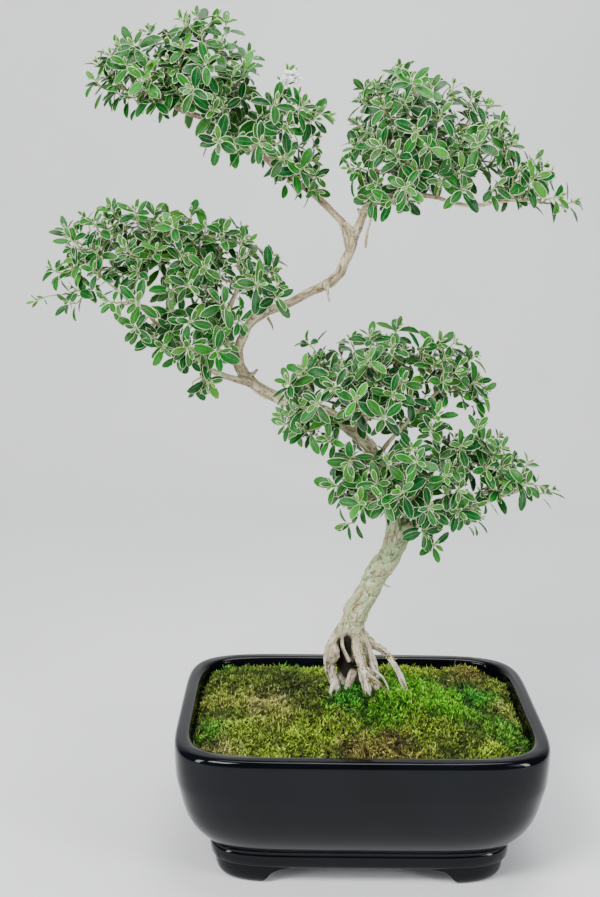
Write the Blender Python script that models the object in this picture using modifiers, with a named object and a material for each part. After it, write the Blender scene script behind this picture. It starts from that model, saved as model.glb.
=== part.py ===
"""A serissa bonsai: an S-shaped trunk on exposed roots, four levels of branches with leafy
sprays, moss over soil, in a rounded rectangular glazed pot on four feet.

Lengths are typed in millimetres and turned into metres by MM. While it is being made the
object stands with the pot's middle over x = y = 0 and its feet on z = 0; the last step moves
everything sideways, so that the origin is the middle of the object's own footprint box."""

import math

import bmesh
import bpy
from mathutils import Matrix, Vector
from mathutils.bvhtree import BVHTree

MM = 0.001

# ---- driving dimensions, mm -----------------------------------------------------------
POT_LENGTH = 268.0
POT_DEPTH = 200.0
POT_HEIGHT = 108.0
RIM_WIDTH = 11.0
FLOOR_UNDER = 14.0  # the floor's underside above the table
FLOOR_TOP = 22.0
SQUARENESS = 6.0  # the plan is a superellipse of this power, square with round corners
HOLE_RADIUS = 11.0
HOLE_X = 62.0
GAP = 0.35  # clearance between pieces that touch
STEM = 0.8  # half width of a leafy shoot at its foot
LEAF_LENGTH = 16.0
LEAF_WIDTH = 6.6
LEAF_THICK = 0.5

# Outer half length of the pot at each height: a straight band under the rim, a belly that
# draws in below it, a small collar, and the feet.
POT_PROFILE = [
    (108.0, 132.2),
    (106.8, 133.6),
    (103.5, 134.0),
    (82.0, 133.6),
    (72.0, 131.6),
    (62.0, 129.6),
    (53.0, 127.2),
    (45.0, 123.6),
    (38.0, 119.2),
    (32.0, 114.4),
    (27.5, 110.4),
    (25.0, 109.6),
    (24.0, 110.2),
    (16.0, 109.8),
    (15.0, 108.4),
]
SOIL_TOP = 92.0
MOSS_EDGE = 99.0
MOSS_CROWN = 111.0
TREE_LIFT = 8.0  # the tree lists below are measured from 8 mm above the table

# Half length of the hollow at each height, from the rim down to the floor.
HOLLOW = [(POT_HEIGHT, 123.0), (84.0, 121.8), (66.0, 119.6), (50.0, 114.0), (38.0, 106.5), (FLOOR_TOP + 3, 98.0), (FLOOR_TOP, 93.0)]

# ---- the tree: each branch is (x, y, z, radius) in mm, from its foot to its tip --------
WOOD = {
    "trunk": [(-5, 14, 101, 8.0), (-6, 13, 118, 9.2), (-6, 12, 145, 9.2), (-6, 12, 161, 8.4), (-1, 12, 175, 7.9), (4, 10, 189, 7.4), (12, 8, 205, 7.3), (19, 6, 216, 7.0), (27, 4, 229, 6.6)],
    "main_left": [(22, 5, 221, 5.6), (23, 4, 239, 4.8), (19, 2, 254, 4.3), (15, -2, 274, 4.2), (9, -6, 289, 4.3), (3, -8, 300, 4.4), (-6, -8, 309, 4.4), (-18, -6, 318, 4.2), (-32, -3, 325, 4.1), (-46, 0, 328, 4.1), (-57, 3, 330, 4.1), (-67, 6, 334, 4.2), (-76, 8, 338, 4.3), (-84, 10, 345, 4.3), (-90, 12, 353, 4.2), (-93, 14, 361, 4.0)],
    "upper_right": [(-90, 12, 353, 3.8), (-91, 15, 366, 3.6), (-86, 18, 378, 3.4), (-81, 20, 386, 3.4), (-71, 22, 392, 3.2), (-56, 22, 398, 3.1), (-41, 20, 406, 3.2), (-27, 16, 413, 3.4), (-20, 12, 420, 3.5), (-16, 8, 429, 3.4), (-12, 5, 438, 3.2), (-10, 2, 448, 3.0)],
    "mid_up_left": [(-90, 12, 353, 3.2), (-98, 10, 370, 2.7), (-101, 4, 382, 2.3), (-103, 0, 394, 2.1), (-108, -4, 405, 1.9), (-116, -8, 415, 1.7), (-127, -8, 423, 1.5), (-140, -6, 428, 1.3)],
    "mid_low_left": [(-80, 9, 341, 2.8), (-97, 6, 346, 2.2), (-108, 2, 351, 2.0), (-116, -2, 358, 1.8), (-123, -5, 369, 1.7), (-135, -10, 377, 1.5), (-146, -14, 386, 1.5), (-153, -18, 395, 1.4), (-164, -20, 403, 1.3)],
    "mid_back": [(-101, 4, 382, 2.0), (-98, 14, 394, 1.7), (-92, 22, 408, 1.5), (-88, 26, 420, 1.3)],
    "mid_over": [(-71, 22, 392, 2.3), (-76, 12, 398, 1.8), (-80, 2, 404, 1.5), (-82, -8, 410, 1.3)],
    "up_left_branch": [(-13, 5, 438, 2.8), (-17, 5, 454, 2.5), (-22, 6, 460, 2.4), (-30, 10, 468, 2.3), (-39, 12, 476, 2.2), (-51, 12, 484, 2.2), (-67, 10, 495, 2.1), (-85, 6, 513, 2.0), (-97, 2, 521, 1.9), (-116, -2, 526, 1.8), (-129, -4, 530, 1.6), (-139, -4, 536, 1.4), (-151, -3, 541, 1.3)],
    "up_left_rise": [(-97, 2, 521, 1.7), (-104, 2, 534, 1.5), (-112, 1, 548, 1.4), (-116, 0, 562, 1.3)],
    "up_left_front": [(-60, 11, 490, 1.6), (-64, 0, 494, 1.5), (-72, -10, 500, 1.4), (-82, -18, 504, 1.3)],
    "up_left_back": [(-67, 10, 495, 1.6), (-70, 18, 506, 1.5), (-76, 24, 520, 1.3)],
    "up_right_branch": [(-12, 5, 440, 3.0), (-7, 0, 453, 2.8), (-5, -2, 460, 2.6), (-2, -4, 468, 2.4), (0, -4, 482, 2.1), (5, -2, 499, 1.8), (12, 2, 512, 1.5), (20, 4, 522, 1.3)],
    "right_long": [(-3, -4, 466, 2.2), (15, -10, 474, 1.8), (39, -14, 475, 1.6), (59, -16, 470, 1.5), (72, -16, 469, 1.5), (89, -14, 472, 1.4), (107, -12, 473, 1.3), (118, -10, 471, 1.2)],
    "right_up": [(2, -3, 490, 1.8), (16, 6, 492, 1.6), (34, 12, 496, 1.5), (50, 12, 500, 1.3)],
    "low_right": [(28, 4, 231, 4.2), (36, 2, 238, 3.2), (44, 0, 243, 2.7), (56, -6, 249, 2.1), (75, -10, 255, 1.7), (94, -14, 264, 1.5), (110, -15, 270, 1.3)],
    "low_up": [(28, 4, 226, 4.4), (34, 8, 250, 3.0), (37, 14, 270, 2.4), (46, 18, 283, 2.0), (61, 20, 291, 1.7), (75, 18, 297, 1.4)],
    "low_front": [(16, -2, 271, 2.2), (10, -12, 268, 1.7), (4, -20, 264, 1.5), (-4, -26, 262, 1.3)],
    "diag": [(8, -6, 290, 2.0), (19, -11, 306, 1.5), (27, -12, 315, 1.4), (35, -12, 324, 1.4), (45, -10, 334, 1.4), (52, -8, 342, 1.3), (54, -6, 353, 1.3)],
    "centre_up": [(-8, -8, 311, 3.2), (2, -2, 323, 2.8), (5, 4, 334, 2.5), (8, 10, 346, 2.1), (14, 14, 356, 1.7), (20, 16, 364, 1.4)],
    "left_small": [(-32, -3, 325, 2.4), (-38, -10, 337, 1.8), (-43, -16, 347, 1.5), (-47, -20, 354, 1.3)],
    "root_left": [(-9, 12, 160, 5.0), (-18, 9, 148, 4.6), (-22, 7, 136, 4.8), (-21, 5, 122, 4.9), (-17, 2, 112, 4.4), (-13, -1, 98, 3.6)],
    "root_front": [(-3, 8, 156, 4.6), (-3, 1, 143, 4.2), (0, -4, 130, 4.2), (3, -8, 119, 4.0), (6, -12, 108, 3.2), (8, -14, 96, 2.4)],
    "root_strand": [(-11, 8, 155, 2.2), (-13, 2, 146, 1.8), (-8, -3, 134, 1.8), (-1, -6, 124, 1.8)],
    "root_fork": [(0, -3, 132, 3.0), (8, -4, 124, 3.0), (13, -7, 114, 2.6), (15, -10, 98, 2.0)],
    "root_right": [(2, 12, 150, 4.0), (9, 9, 144, 3.0), (17, 7, 140, 2.4), (25, 4, 133, 2.2), (32, 0, 122, 2.0), (37, -4, 108, 1.8), (40, -7, 97, 1.6)],
    "root_back": [(-7, 16, 140, 6.0), (-8, 24, 126, 5.0), (-10, 32, 112, 4.0), (-12, 38, 98, 3.0)],
    "root_back_right": [(0, 16, 138, 5.0), (8, 22, 124, 4.0), (14, 28, 110, 3.4), (18, 32, 98, 2.6)],
}

# ---- leafy sprays: name, the branch it grows from, how far along, and its tip in mm ----
SPRAYS = [
    ("upper_left_01", "up_left_branch", 1.0, (-178, -4, 548)),
    ("upper_left_02", "up_left_branch", 0.93, (-161, 3, 576)),
    ("upper_left_03", "up_left_branch", 0.88, (-140, -24, 552)),
    ("upper_left_04", "up_left_rise", 1.0, (-116, 0, 590)),
    ("upper_left_05", "up_left_back", 1.0, (-92, 20, 556)),
    ("upper_left_06", "up_left_front", 1.0, (-108, -28, 506)),
    ("upper_left_07", "up_left_branch", 0.62, (-68, -6, 540)),
    ("upper_left_08", "up_left_branch", 0.40, (-34, 12, 526)),
    ("upper_left_09", "up_left_branch", 0.22, (-50, -4, 490)),
    ("upper_right_01", "up_right_branch", 1.0, (17, 0, 552)),
    ("upper_right_02", "up_right_branch", 0.80, (-8, 16, 524)),
    ("upper_right_03", "up_right_branch", 0.42, (-14, -16, 492)),
    ("upper_right_04", "up_right_branch", 0.90, (36, -24, 536)),
    ("upper_right_05", "right_up", 1.0, (60, 10, 532)),
    ("upper_right_06", "right_up", 0.55, (34, 28, 508)),
    ("upper_right_07", "right_long", 0.42, (60, -26, 500)),
    ("upper_right_08", "right_long", 0.28, (30, -30, 492)),
    ("upper_right_09", "right_long", 0.78, (104, -2, 498)),
    ("upper_right_10", "right_long", 1.0, (144, -9, 470)),
    ("mid_left_01", "mid_low_left", 1.0, (-232, -24, 402)),
    ("mid_left_02", "mid_up_left", 1.0, (-184, 4, 436)),
    ("mid_left_03", "mid_up_left", 0.86, (-150, -14, 452)),
    ("mid_left_04", "mid_up_left", 0.62, (-126, 6, 460)),
    ("mid_left_05", "mid_back", 1.0, (-118, 28, 448)),
    ("mid_left_06", "mid_back", 0.70, (-84, 10, 440)),
    ("mid_left_07", "mid_over", 1.0, (-58, -22, 412)),
    ("mid_left_08", "mid_low_left", 0.66, (-162, -34, 386)),
    ("mid_left_09", "mid_low_left", 0.40, (-134, -26, 366)),
    ("mid_left_10", "mid_low_left", 0.30, (-124, 12, 338)),
    ("low_top_01", "main_left", 0.66, (-54, -18, 342)),
    ("low_top_02", "main_left", 0.55, (-44, -26, 314)),
    ("low_top_03", "left_small", 1.0, (-34, 6, 372)),
    ("low_top_04", "centre_up", 1.0, (14, -4, 372)),
    ("low_top_05", "centre_up", 0.62, (10, -26, 344)),
    ("low_top_06", "diag", 1.0, (62, 4, 378)),
    ("low_top_07", "diag", 0.70, (84, -8, 338)),
    ("low_bottom_01", "main_left", 0.25, (-26, -10, 284)),
    ("low_bottom_02", "low_front", 1.0, (-12, -34, 250)),
    ("low_bottom_03", "low_front", 0.45, (26, -36, 268)),
    ("low_bottom_04", "low_right", 0.40, (48, -20, 226)),
    ("low_bottom_05", "low_right", 0.62, (84, 6, 240)),
    ("low_bottom_06", "low_up", 1.0, (106, 12, 300)),
    ("low_bottom_07", "low_right", 1.0, (140, -16, 268)),
    ("low_bottom_08", "low_up", 0.55, (56, -12, 304)),
]
FLOWER = (-58, 2, 546)  # where the one open flower stands, over a spray of the top left pad

# Moss patches: name, corner points (x, y) of the patch, and the height of its middle over its edge
MOSS = [
    ("moss_left", [(-119, -28), (-50, -28), (-50, 86), (-119, 86)], 5.0),
    ("moss_front_left", [(-119, -86), (-24, -86), (-24, -29), (-119, -29)], 4.5),
    ("moss_front", [(-23, -86), (52, -86), (52, -29), (-23, -29)], 4.0),
    ("moss_bright", [(-49, -28), (52, -28), (52, 6), (-49, 6)], 6.5),
    ("moss_back", [(-49, 7), (52, 7), (52, 86), (-49, 86)], 5.0),
    ("moss_right_back", [(53, 2), (119, 2), (119, 86), (53, 86)], 5.5),
    ("moss_right_front", [(53, -86), (119, -86), (119, 1), (53, 1)], 5.0),
]


WOOD = {name: [(x, y, z + TREE_LIFT, r) for x, y, z, r in points] for name, points in WOOD.items()}
SPRAYS = [(name, branch, share, (x, y, z + TREE_LIFT)) for name, branch, share, (x, y, z) in SPRAYS]
FLOWER = (FLOWER[0], FLOWER[1], FLOWER[2] + TREE_LIFT)


# ---- helpers ---------------------------------------------------------------------------
def clear_scene():
    for obj in list(bpy.data.objects):
        bpy.data.objects.remove(obj)
    for block in (bpy.data.meshes, bpy.data.curves, bpy.data.materials):
        for item in list(block):
            block.remove(item)


def material(name, colour, rough, metal=0.0):
    m = bpy.data.materials.new(name)
    m.use_nodes = True
    shader = m.node_tree.nodes["Principled BSDF"]
    shader.inputs["Base Color"].default_value = (*colour, 1.0)
    shader.inputs["Roughness"].default_value = rough
    shader.inputs["Metallic"].default_value = metal
    return m


def obj_from_bmesh(name, bm, mat, smooth=False):
    mesh = bpy.data.meshes.new(name)
    bm.to_mesh(mesh)
    bm.free()
    obj = bpy.data.objects.new(name, mesh)
    PARTS.objects.link(obj)
    if mat is not None:
        mesh.materials.append(mat)
    if smooth:
        mesh.shade_smooth()
        mesh.set_sharp_from_angle(angle=math.radians(50))
    return obj


def as_cutter(obj):
    for collection in list(obj.users_collection):
        collection.objects.unlink(obj)
    CUTTERS.objects.link(obj)
    obj.hide_render = True
    obj.display_type = "WIRE"
    return obj


def boolean(obj, other, operation):
    m = obj.modifiers.new(operation.lower(), "BOOLEAN")
    m.operation = operation
    m.solver = "EXACT"
    m.object = other
    return m


def bake(obj):
    """Turns an object's modifiers into its own mesh."""
    graph = bpy.context.evaluated_depsgraph_get()
    graph.update()
    mesh = bpy.data.meshes.new_from_object(obj.evaluated_get(graph))
    old = obj.data
    obj.modifiers.clear()
    obj.data = mesh
    bpy.data.meshes.remove(old)
    return obj


def spline_points(points, step):
    """Catmull-Rom through (x, y, z, radius), about step mm apart."""
    p = [Vector(q) for q in points]
    p = [p[0] * 2 - p[1], *p, p[-1] * 2 - p[-2]]
    out = []
    for i in range(1, len(p) - 2):
        a, b, c, d = p[i - 1 : i + 3]
        n = max(1, round((c.xyz - b.xyz).length / step))
        for k in range(n):
            t = k / n
            out.append(0.5 * (2 * b + (c - a) * t + (2 * a - 5 * b + 4 * c - d) * t * t + (3 * b - a - 3 * c + d) * t**3))
    out.append(p[-2])
    return out


def along(points, share):
    """(position, radius, direction) at a share of a branch's length."""
    line = spline_points(points, 4.0)
    lengths = [0.0]
    for a, b in zip(line, line[1:]):
        lengths.append(lengths[-1] + (b.xyz - a.xyz).length)
    want = share * lengths[-1]
    for i, (a, b) in enumerate(zip(line, line[1:])):
        if lengths[i + 1] >= want or i == len(line) - 2:
            t = (want - lengths[i]) / max(lengths[i + 1] - lengths[i], 1e-9)
            q = a.lerp(b, min(max(t, 0.0), 1.0))
            return Vector(q.xyz), q.w, (b.xyz - a.xyz).normalized()


def tube(name, points, grow=0.0, step=9.0, sides=2):
    """A tapering branch as a bevelled poly curve, then a closed mesh."""
    curve = bpy.data.curves.new(name, "CURVE")
    curve.dimensions = "3D"
    curve.bevel_depth = MM
    curve.bevel_resolution = sides
    curve.use_fill_caps = True
    line = spline_points(points, step)
    spline = curve.splines.new("POLY")
    spline.points.add(len(line) - 1)
    for q, target in zip(line, spline.points):
        target.co = (q.x * MM, q.y * MM, q.z * MM, 1.0)
        target.radius = q.w + grow
    obj = bpy.data.objects.new(name, curve)
    PARTS.objects.link(obj)
    graph = bpy.context.evaluated_depsgraph_get()
    graph.update()
    mesh = bpy.data.meshes.new_from_object(obj.evaluated_get(graph))
    bm = bmesh.new()
    bm.from_mesh(mesh)
    bmesh.ops.remove_doubles(bm, verts=bm.verts, dist=0.00002)
    bmesh.ops.recalc_face_normals(bm, faces=bm.faces)
    bpy.data.objects.remove(obj)
    bpy.data.curves.remove(curve)
    bpy.data.meshes.remove(mesh)
    return bm


def plan(half_x, half_y, z, count=48):
    """Points of the pot's rounded rectangular plan at a height, in metres."""
    out = []
    for i in range(count):
        t = 2 * math.pi * (i + 0.5) / count
        c, s = math.cos(t), math.sin(t)
        k = (abs(c) ** SQUARENESS + abs(s) ** SQUARENESS) ** (-1 / SQUARENESS)
        out.append(Vector((half_x * k * c * MM, half_y * k * s * MM, z * MM)))
    return out


def loft(name, rings, mat, smooth=True):
    """A closed skin over rings that share a point count, flat at both ends."""
    bm = bmesh.new()
    rows = [[bm.verts.new(p) for p in ring] for ring in rings]
    edges = [[bm.edges.new((row[i], row[(i + 1) % len(row)])) for i in range(len(row))] for row in rows]
    for a, b in zip(edges, edges[1:]):
        bmesh.ops.bridge_loops(bm, edges=a + b)
    for row in (edges[0], edges[-1]):
        bmesh.ops.contextual_create(bm, geom=row)
    bmesh.ops.recalc_face_normals(bm, faces=bm.faces)
    return obj_from_bmesh(name, bm, mat, smooth)


def box(name, low, high):
    bm = bmesh.new()
    bmesh.ops.create_cube(bm, size=1.0)
    for v in bm.verts:
        v.co = Vector([(low[i] + (high[i] - low[i]) * (v.co[i] + 0.5)) * MM for i in range(3)])
    return obj_from_bmesh(name, bm, None)


def cylinder(name, x, y, low, high, radius, sides=24):
    bm = bmesh.new()
    bmesh.ops.create_cone(bm, cap_ends=True, segments=sides, radius1=radius * MM, radius2=radius * MM, depth=(high - low) * MM)
    bmesh.ops.translate(bm, verts=bm.verts, vec=(x * MM, y * MM, (low + high) / 2 * MM))
    return obj_from_bmesh(name, bm, None)


# ---- the pot ---------------------------------------------------------------------------
def half_depth(half_length):
    return half_length - (POT_LENGTH - POT_DEPTH) / 2


def make_pot(mat):
    outer = loft("pot", [plan(a, half_depth(a), z) for z, a in POT_PROFILE] + [plan(106.6, half_depth(106.6), FLOOR_UNDER)], mat)
    inner = [(POT_HEIGHT + 4, POT_LENGTH / 2 - RIM_WIDTH + 2.4)] + [(POT_HEIGHT - 1.6, POT_LENGTH / 2 - RIM_WIDTH)] + HOLLOW[1:]
    hollow = as_cutter(loft("pot_hollow", [plan(a, half_depth(a) - 1.0, z) for z, a in inner], None))
    boolean(outer, hollow, "DIFFERENCE")
    # Four feet, each an L round its corner, left when a cross is cut from a shallow plinth.
    plinth = as_cutter(loft("plinth", [plan(106.9, half_depth(106.9), FLOOR_UNDER + 1.5), plan(106.4, half_depth(106.4), 6), plan(105.2, half_depth(105.2), 1.2), plan(104.0, half_depth(104.0), 0)], None))
    core = as_cutter(loft("plinth_core", [plan(86, 52, FLOOR_UNDER), plan(86, 52, -3)], None))
    boolean(plinth, core, "DIFFERENCE")
    for name, axis in (("arch_front", "x"), ("arch_side", "y")):
        half, other = (64.0, 130.0) if axis == "x" else (36.0, 160.0)
        rings = []
        for side in (-1, 1):
            ring = []
            for u, z in ((-half - 9, -3), (-half - 4, 2), (-half, 8), (-half + 6, 12), (-half + 14, FLOOR_UNDER), (half - 14, FLOOR_UNDER), (half - 6, 12), (half, 8), (half + 4, 2), (half + 9, -3)):
                ring.append(Vector((u * MM, side * other * MM, z * MM)) if axis == "x" else Vector((side * other * MM, u * MM, z * MM)))
            rings.append(ring)
        arch = as_cutter(loft(name, rings, None, smooth=False))
        boolean(plinth, arch, "DIFFERENCE")
    bake(plinth)
    boolean(outer, plinth, "UNION")
    for i, x in enumerate((-HOLE_X, HOLE_X)):
        boolean(outer, as_cutter(cylinder(f"drain_{i}", x, 0, 5, 40, HOLE_RADIUS)), "DIFFERENCE")
    return bake(outer)


def make_screen(name, x, mat):
    """A square of plastic mesh: a grid with its openings taken out, given its thickness by Solidify."""
    cells, bar, opening = 3, 2.4, 9.2
    bm = bmesh.new()
    bmesh.ops.create_grid(bm, x_segments=2 * cells + 1, y_segments=2 * cells + 1, size=0.5)
    n = 2 * cells + 1
    edges = [0.0]
    for i in range(n):
        edges.append(edges[-1] + (bar if i % 2 == 0 else opening))
    half = edges[-1] / 2
    low = min(v.co.x for v in bm.verts)
    span = max(v.co.x for v in bm.verts) - low
    for v in bm.verts:
        i, j = round((v.co.x - low) / span * n), round((v.co.y - low) / span * n)
        v.co = Vector(((x + edges[i] - half) * MM, (edges[j] - half) * MM, (FLOOR_TOP + GAP) * MM))
    gone = []
    for f in bm.faces:
        c = f.calc_center_median() / MM
        i = sum(1 for e in edges if e < c.x - x + half) - 1
        j = sum(1 for e in edges if e < c.y + half) - 1
        if i % 2 == 1 and j % 2 == 1:
            gone.append(f)
    bmesh.ops.delete(bm, geom=gone, context="FACES")
    obj = obj_from_bmesh(name, bm, mat)
    m = obj.modifiers.new("thickness", "SOLIDIFY")
    m.thickness = 0.9 * MM
    m.offset = 1.0
    return bake(obj)


def make_staple(name, x, mat):
    """A wire over the screen and down through the hole, bent outwards under the floor."""
    r, leg, top, low, out = 0.6, 8.4, FLOOR_TOP + GAP + 0.9 + 0.35 + 0.6, FLOOR_UNDER - 0.35 - 0.6, 17.0
    path = [(-out, low), (-leg - 1.6, low), (-leg, low + 1.4), (-leg, top - 1.2), (-leg + 1.2, top), (leg - 1.2, top), (leg, top - 1.2), (leg, low + 1.4), (leg + 1.6, low), (out, low)]
    curve = bpy.data.curves.new(name, "CURVE")
    curve.dimensions = "3D"
    curve.bevel_depth = r * MM
    curve.bevel_resolution = 1
    curve.use_fill_caps = True
    spline = curve.splines.new("POLY")
    spline.points.add(len(path) - 1)
    for (u, z), target in zip(path, spline.points):
        target.co = ((x + u) * MM, 0.0, z * MM, 1.0)
    obj = bpy.data.objects.new(name, curve)
    PARTS.objects.link(obj)
    curve.materials.append(mat)
    return obj


# ---- the tree's wood -------------------------------------------------------------------
def make_wood(name, mat, grow=0.0, keys=None):
    """All the branches and roots joined into one piece of wood."""
    keys = list(keys or WOOD)
    base = None
    for i, key in enumerate(keys):
        big = WOOD[key][0][3] > 4.5
        bm = tube(f"{name}_{key}", WOOD[key], grow, step=10.0 if big else 9.0, sides=2 if big else 1)
        obj = obj_from_bmesh(f"{name}_{key}", bm, mat)
        if base is None:
            base = obj
            base.name = name
            continue
        as_cutter(obj)
        boolean(base, obj, "UNION")
        bake(base)
        bpy.data.objects.remove(obj)
    base.name = name
    return base


# ---- soil and moss ---------------------------------------------------------------------
def inner_half(z):
    """Half length of the pot's hollow at a height."""
    rows = HOLLOW
    for (z1, a1), (z0, a0) in zip(rows, rows[1:]):
        if z >= z0:
            return a0 + (a1 - a0) * (z - z0) / (z1 - z0)
    return rows[-1][1]


def mound(x, y):
    """Height of the moss over the table: low at the rim, rising to the foot of the trunk."""
    edge = max(abs(x) / 121.0, abs(y) / 88.0)
    base = MOSS_EDGE + (MOSS_CROWN - MOSS_EDGE) * max(0.0, 1 - edge**2.2)
    near = math.exp(-((x + 2) ** 2 + (y - 8) ** 2) / (2 * 38.0**2))
    return base + 4.0 * near


def make_soil(mat):
    zs = [FLOOR_TOP + GAP, FLOOR_TOP + 3, 38, 50, 66, 84, SOIL_TOP]
    soil = loft("soil", [plan(inner_half(z) - GAP - 0.3, half_depth(inner_half(z)) - 1.0 - GAP - 0.3, z) for z in zs], mat)
    for i, x in enumerate((-HOLE_X, HOLE_X)):
        boolean(soil, as_cutter(box(f"pocket_{i}", (x - 21, -21, FLOOR_TOP - 4), (x + 21, 21, FLOOR_TOP + 3.2))), "DIFFERENCE")
    return bake(soil)


def make_moss(name, corners, rise, mat, wood_cutter):
    """A moss cushion: a grid over its patch, lifted to the mound, with thickness by Solidify."""
    (x0, y0), (x1, y1) = corners[0], corners[2]
    nx, ny = max(3, round((x1 - x0) / 17)), max(3, round((y1 - y0) / 17))
    bm = bmesh.new()
    bmesh.ops.create_grid(bm, x_segments=nx, y_segments=ny, size=0.5)
    for v in bm.verts:
        u, w = v.co.x + 0.5, v.co.y + 0.5
        x, y = x0 + (x1 - x0) * u, y0 + (y1 - y0) * w
        # Outer corners are drawn in to follow the round corners of the pot.
        limit_x, limit_y = inner_half(95) - 2.0, half_depth(inner_half(95)) - 3.2
        k = ((abs(x) / limit_x) ** SQUARENESS + (abs(y) / limit_y) ** SQUARENESS) ** (1 / SQUARENESS)
        if k > 1:
            x, y = x / k, y / k
        dome = (1 - (2 * u - 1) ** 4) * (1 - (2 * w - 1) ** 4)
        v.co = Vector((x * MM, y * MM, (mound(x, y) - 2.0 + rise * 0.6 * dome) * MM))
    top = list(bm.faces)
    made = bmesh.ops.extrude_face_region(bm, geom=top)
    low = [g for g in made["geom"] if isinstance(g, bmesh.types.BMVert)]
    for v in low:
        v.co.z = (SOIL_TOP + GAP) * MM
    bmesh.ops.recalc_face_normals(bm, faces=bm.faces)
    obj = obj_from_bmesh(name, bm, mat)
    boolean(obj, wood_cutter, "DIFFERENCE")
    return bake(obj)


# ---- leafy sprays ----------------------------------------------------------------------
def frame_of(direction, turn=0.0):
    z = direction.normalized()
    x = Vector((0, 0, 1)).cross(z)
    if x.length < 1e-3:
        x = Vector((1, 0, 0))
    x.normalize()
    x = Matrix.Rotation(turn, 3, z) @ x
    return x, z.cross(x), z


def ring_to(face, centre, x, y, half_x, half_y):
    """Moves a four-cornered face to a rectangle of a frame, keeping its corners' order."""
    verts = list(face.verts)
    middle = face.calc_center_median()
    normal = x.cross(y)
    order = sorted(range(4), key=lambda i: math.atan2((verts[i].co - middle).dot(y), (verts[i].co - middle).dot(x)))
    for i, (a, b) in zip(order, ((-1, -1), (1, -1), (1, 1), (-1, 1))):
        verts[i].co = centre + x * (a * half_x) + y * (b * half_y)
    return normal


def grow_face(bm, face, centre, x, y, half_x, half_y):
    top = bmesh.ops.extrude_discrete_faces(bm, faces=[face])["faces"][0]
    ring_to(top, centre, x, y, half_x, half_y)
    return top


def spray_mesh(root, tip, turn, skip):
    """A shoot of opposite leaf pairs from root to tip. Returns the bmesh and, for each face
    index, the leaf that it belongs to (-1 on the shoot). skip holds leaves to leave out."""
    length = (tip - root).length
    z_axis = (tip - root).normalized()
    x, y, z = frame_of(z_axis, turn)
    bm = bmesh.new()
    tag = bm.faces.layers.int.new("leaf")
    bmesh.ops.create_cube(bm, size=1.0)
    for f in bm.faces:
        f[tag] = -1
    for v in bm.verts:
        s = v.co * 2
        v.co = root + x * (s.x * STEM) + y * (s.y * STEM) + z * ((s.z + 1) * 0.35)
    face = max(bm.faces, key=lambda f: f.calc_center_median().dot(z))
    pairs = max(3, min(7, round(length / 8)))
    first = length * 0.28
    nodes = [first + (length * 0.92 - first) * i / (pairs - 1) for i in range(pairs)]
    leaf = 0
    for i, at in enumerate(nodes):
        width = STEM * (1 - 0.45 * at / length)
        bend = x * (math.sin(at / length * 2.4 + turn) * length * 0.04)
        centre = root + z * at + bend
        face = grow_face(bm, face, centre - z * 0.9, x, y, width, width)
        before = set(bm.faces)
        face = grow_face(bm, face, centre + z * 0.3, x, y, width, width)
        sides = [f for f in bm.faces if f not in before and f is not face]
        out = x if i % 2 == 0 else y
        across = y if i % 2 == 0 else x
        grown = sorted(sides, key=lambda f: f.calc_center_median().dot(out))
        spread = 0.15 + 0.62 * i / max(1, pairs - 1)
        scale = 1.0 - 0.12 * (pairs - 1 - i)
        for side, f in ((-1, grown[0]), (1, grown[-1])):
            if leaf not in skip:
                aim = (out * side * math.cos(spread) + z * math.sin(spread)).normalized()
                up = across.cross(aim).normalized()
                wide = aim.cross(up).normalized()
                start = f.calc_center_median()
                size = LEAF_LENGTH * scale
                faces_before = set(bm.faces)
                g = grow_face(bm, f, start + aim * (size * 0.55), wide, up, LEAF_WIDTH * scale / 2, LEAF_THICK / 2)
                g = grow_face(bm, g, start + aim * size - up * (0.10 * size), wide, up, 0.5, 0.18)
                for h in bm.faces:
                    if h not in faces_before or h is g:
                        h[tag] = leaf
            leaf += 1
    face = grow_face(bm, face, root + z * length, x, y, 0.3, 0.3)
    bmesh.ops.recalc_face_normals(bm, faces=bm.faces)
    bmesh.ops.triangulate(bm, faces=bm.faces)
    bm.faces.ensure_lookup_table()
    tags = [f[tag] for f in bm.faces]
    return bm, tags


def tree_of(obj):
    bm = bmesh.new()
    bm.from_mesh(obj.data)
    made = BVHTree.FromBMesh(bm)
    bm.free()
    return made


def make_sprays(mat, wood, others):
    placed = [tree_of(wood)] + [tree_of(o) for o in others]
    for number, (name, branch, share, tip) in enumerate(SPRAYS):
        foot, radius, _ = along(WOOD[branch], share)
        tip = Vector(tip)
        away = (tip - foot).normalized()
        best = None
        for turn_try in range(12):
            turn = 0.5 + 0.9 * number + 0.55 * turn_try
            root = foot + away * (radius * (1.25 if share < 1 else 1.0) + 1.0)
            skip = set()
            for _ in range(5):
                bm, tags = spray_mesh(root, tip, turn, skip)
                tree = BVHTree.FromBMesh(scaled(bm))
                hits = {tags[i] for other in placed for i, _ in tree.overlap(other)}
                # Also hold a small distance by testing a slightly swollen copy.
                if hits - {-1} or not hits:
                    skip |= hits - {-1}
                if -1 in hits:
                    root = root + away * 0.8
                if not hits:
                    break
                bm.free()
            else:
                continue
            if hits:
                continue
            if best is None or len(skip) < len(best[3]):
                if best is not None:
                    best[0].free()
                best = (bm, tags, tree, skip)
            else:
                bm.free()
            if len(best[3]) <= 1:
                break
        if best is None:
            raise RuntimeError("no room for spray " + name)
        bm, tags, tree, skip = best
        print("spray", name, "leaves left out", len(skip))
        scaled(bm)
        placed.append(BVHTree.FromBMesh(bm))
        obj_from_bmesh("spray_" + name, bm, mat)


def scaled(bm):
    """Millimetres to metres, once."""
    if max(abs(c) for v in bm.verts for c in v.co) > 2:
        bmesh.ops.scale(bm, vec=(MM, MM, MM), verts=bm.verts)
    return bm


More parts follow.
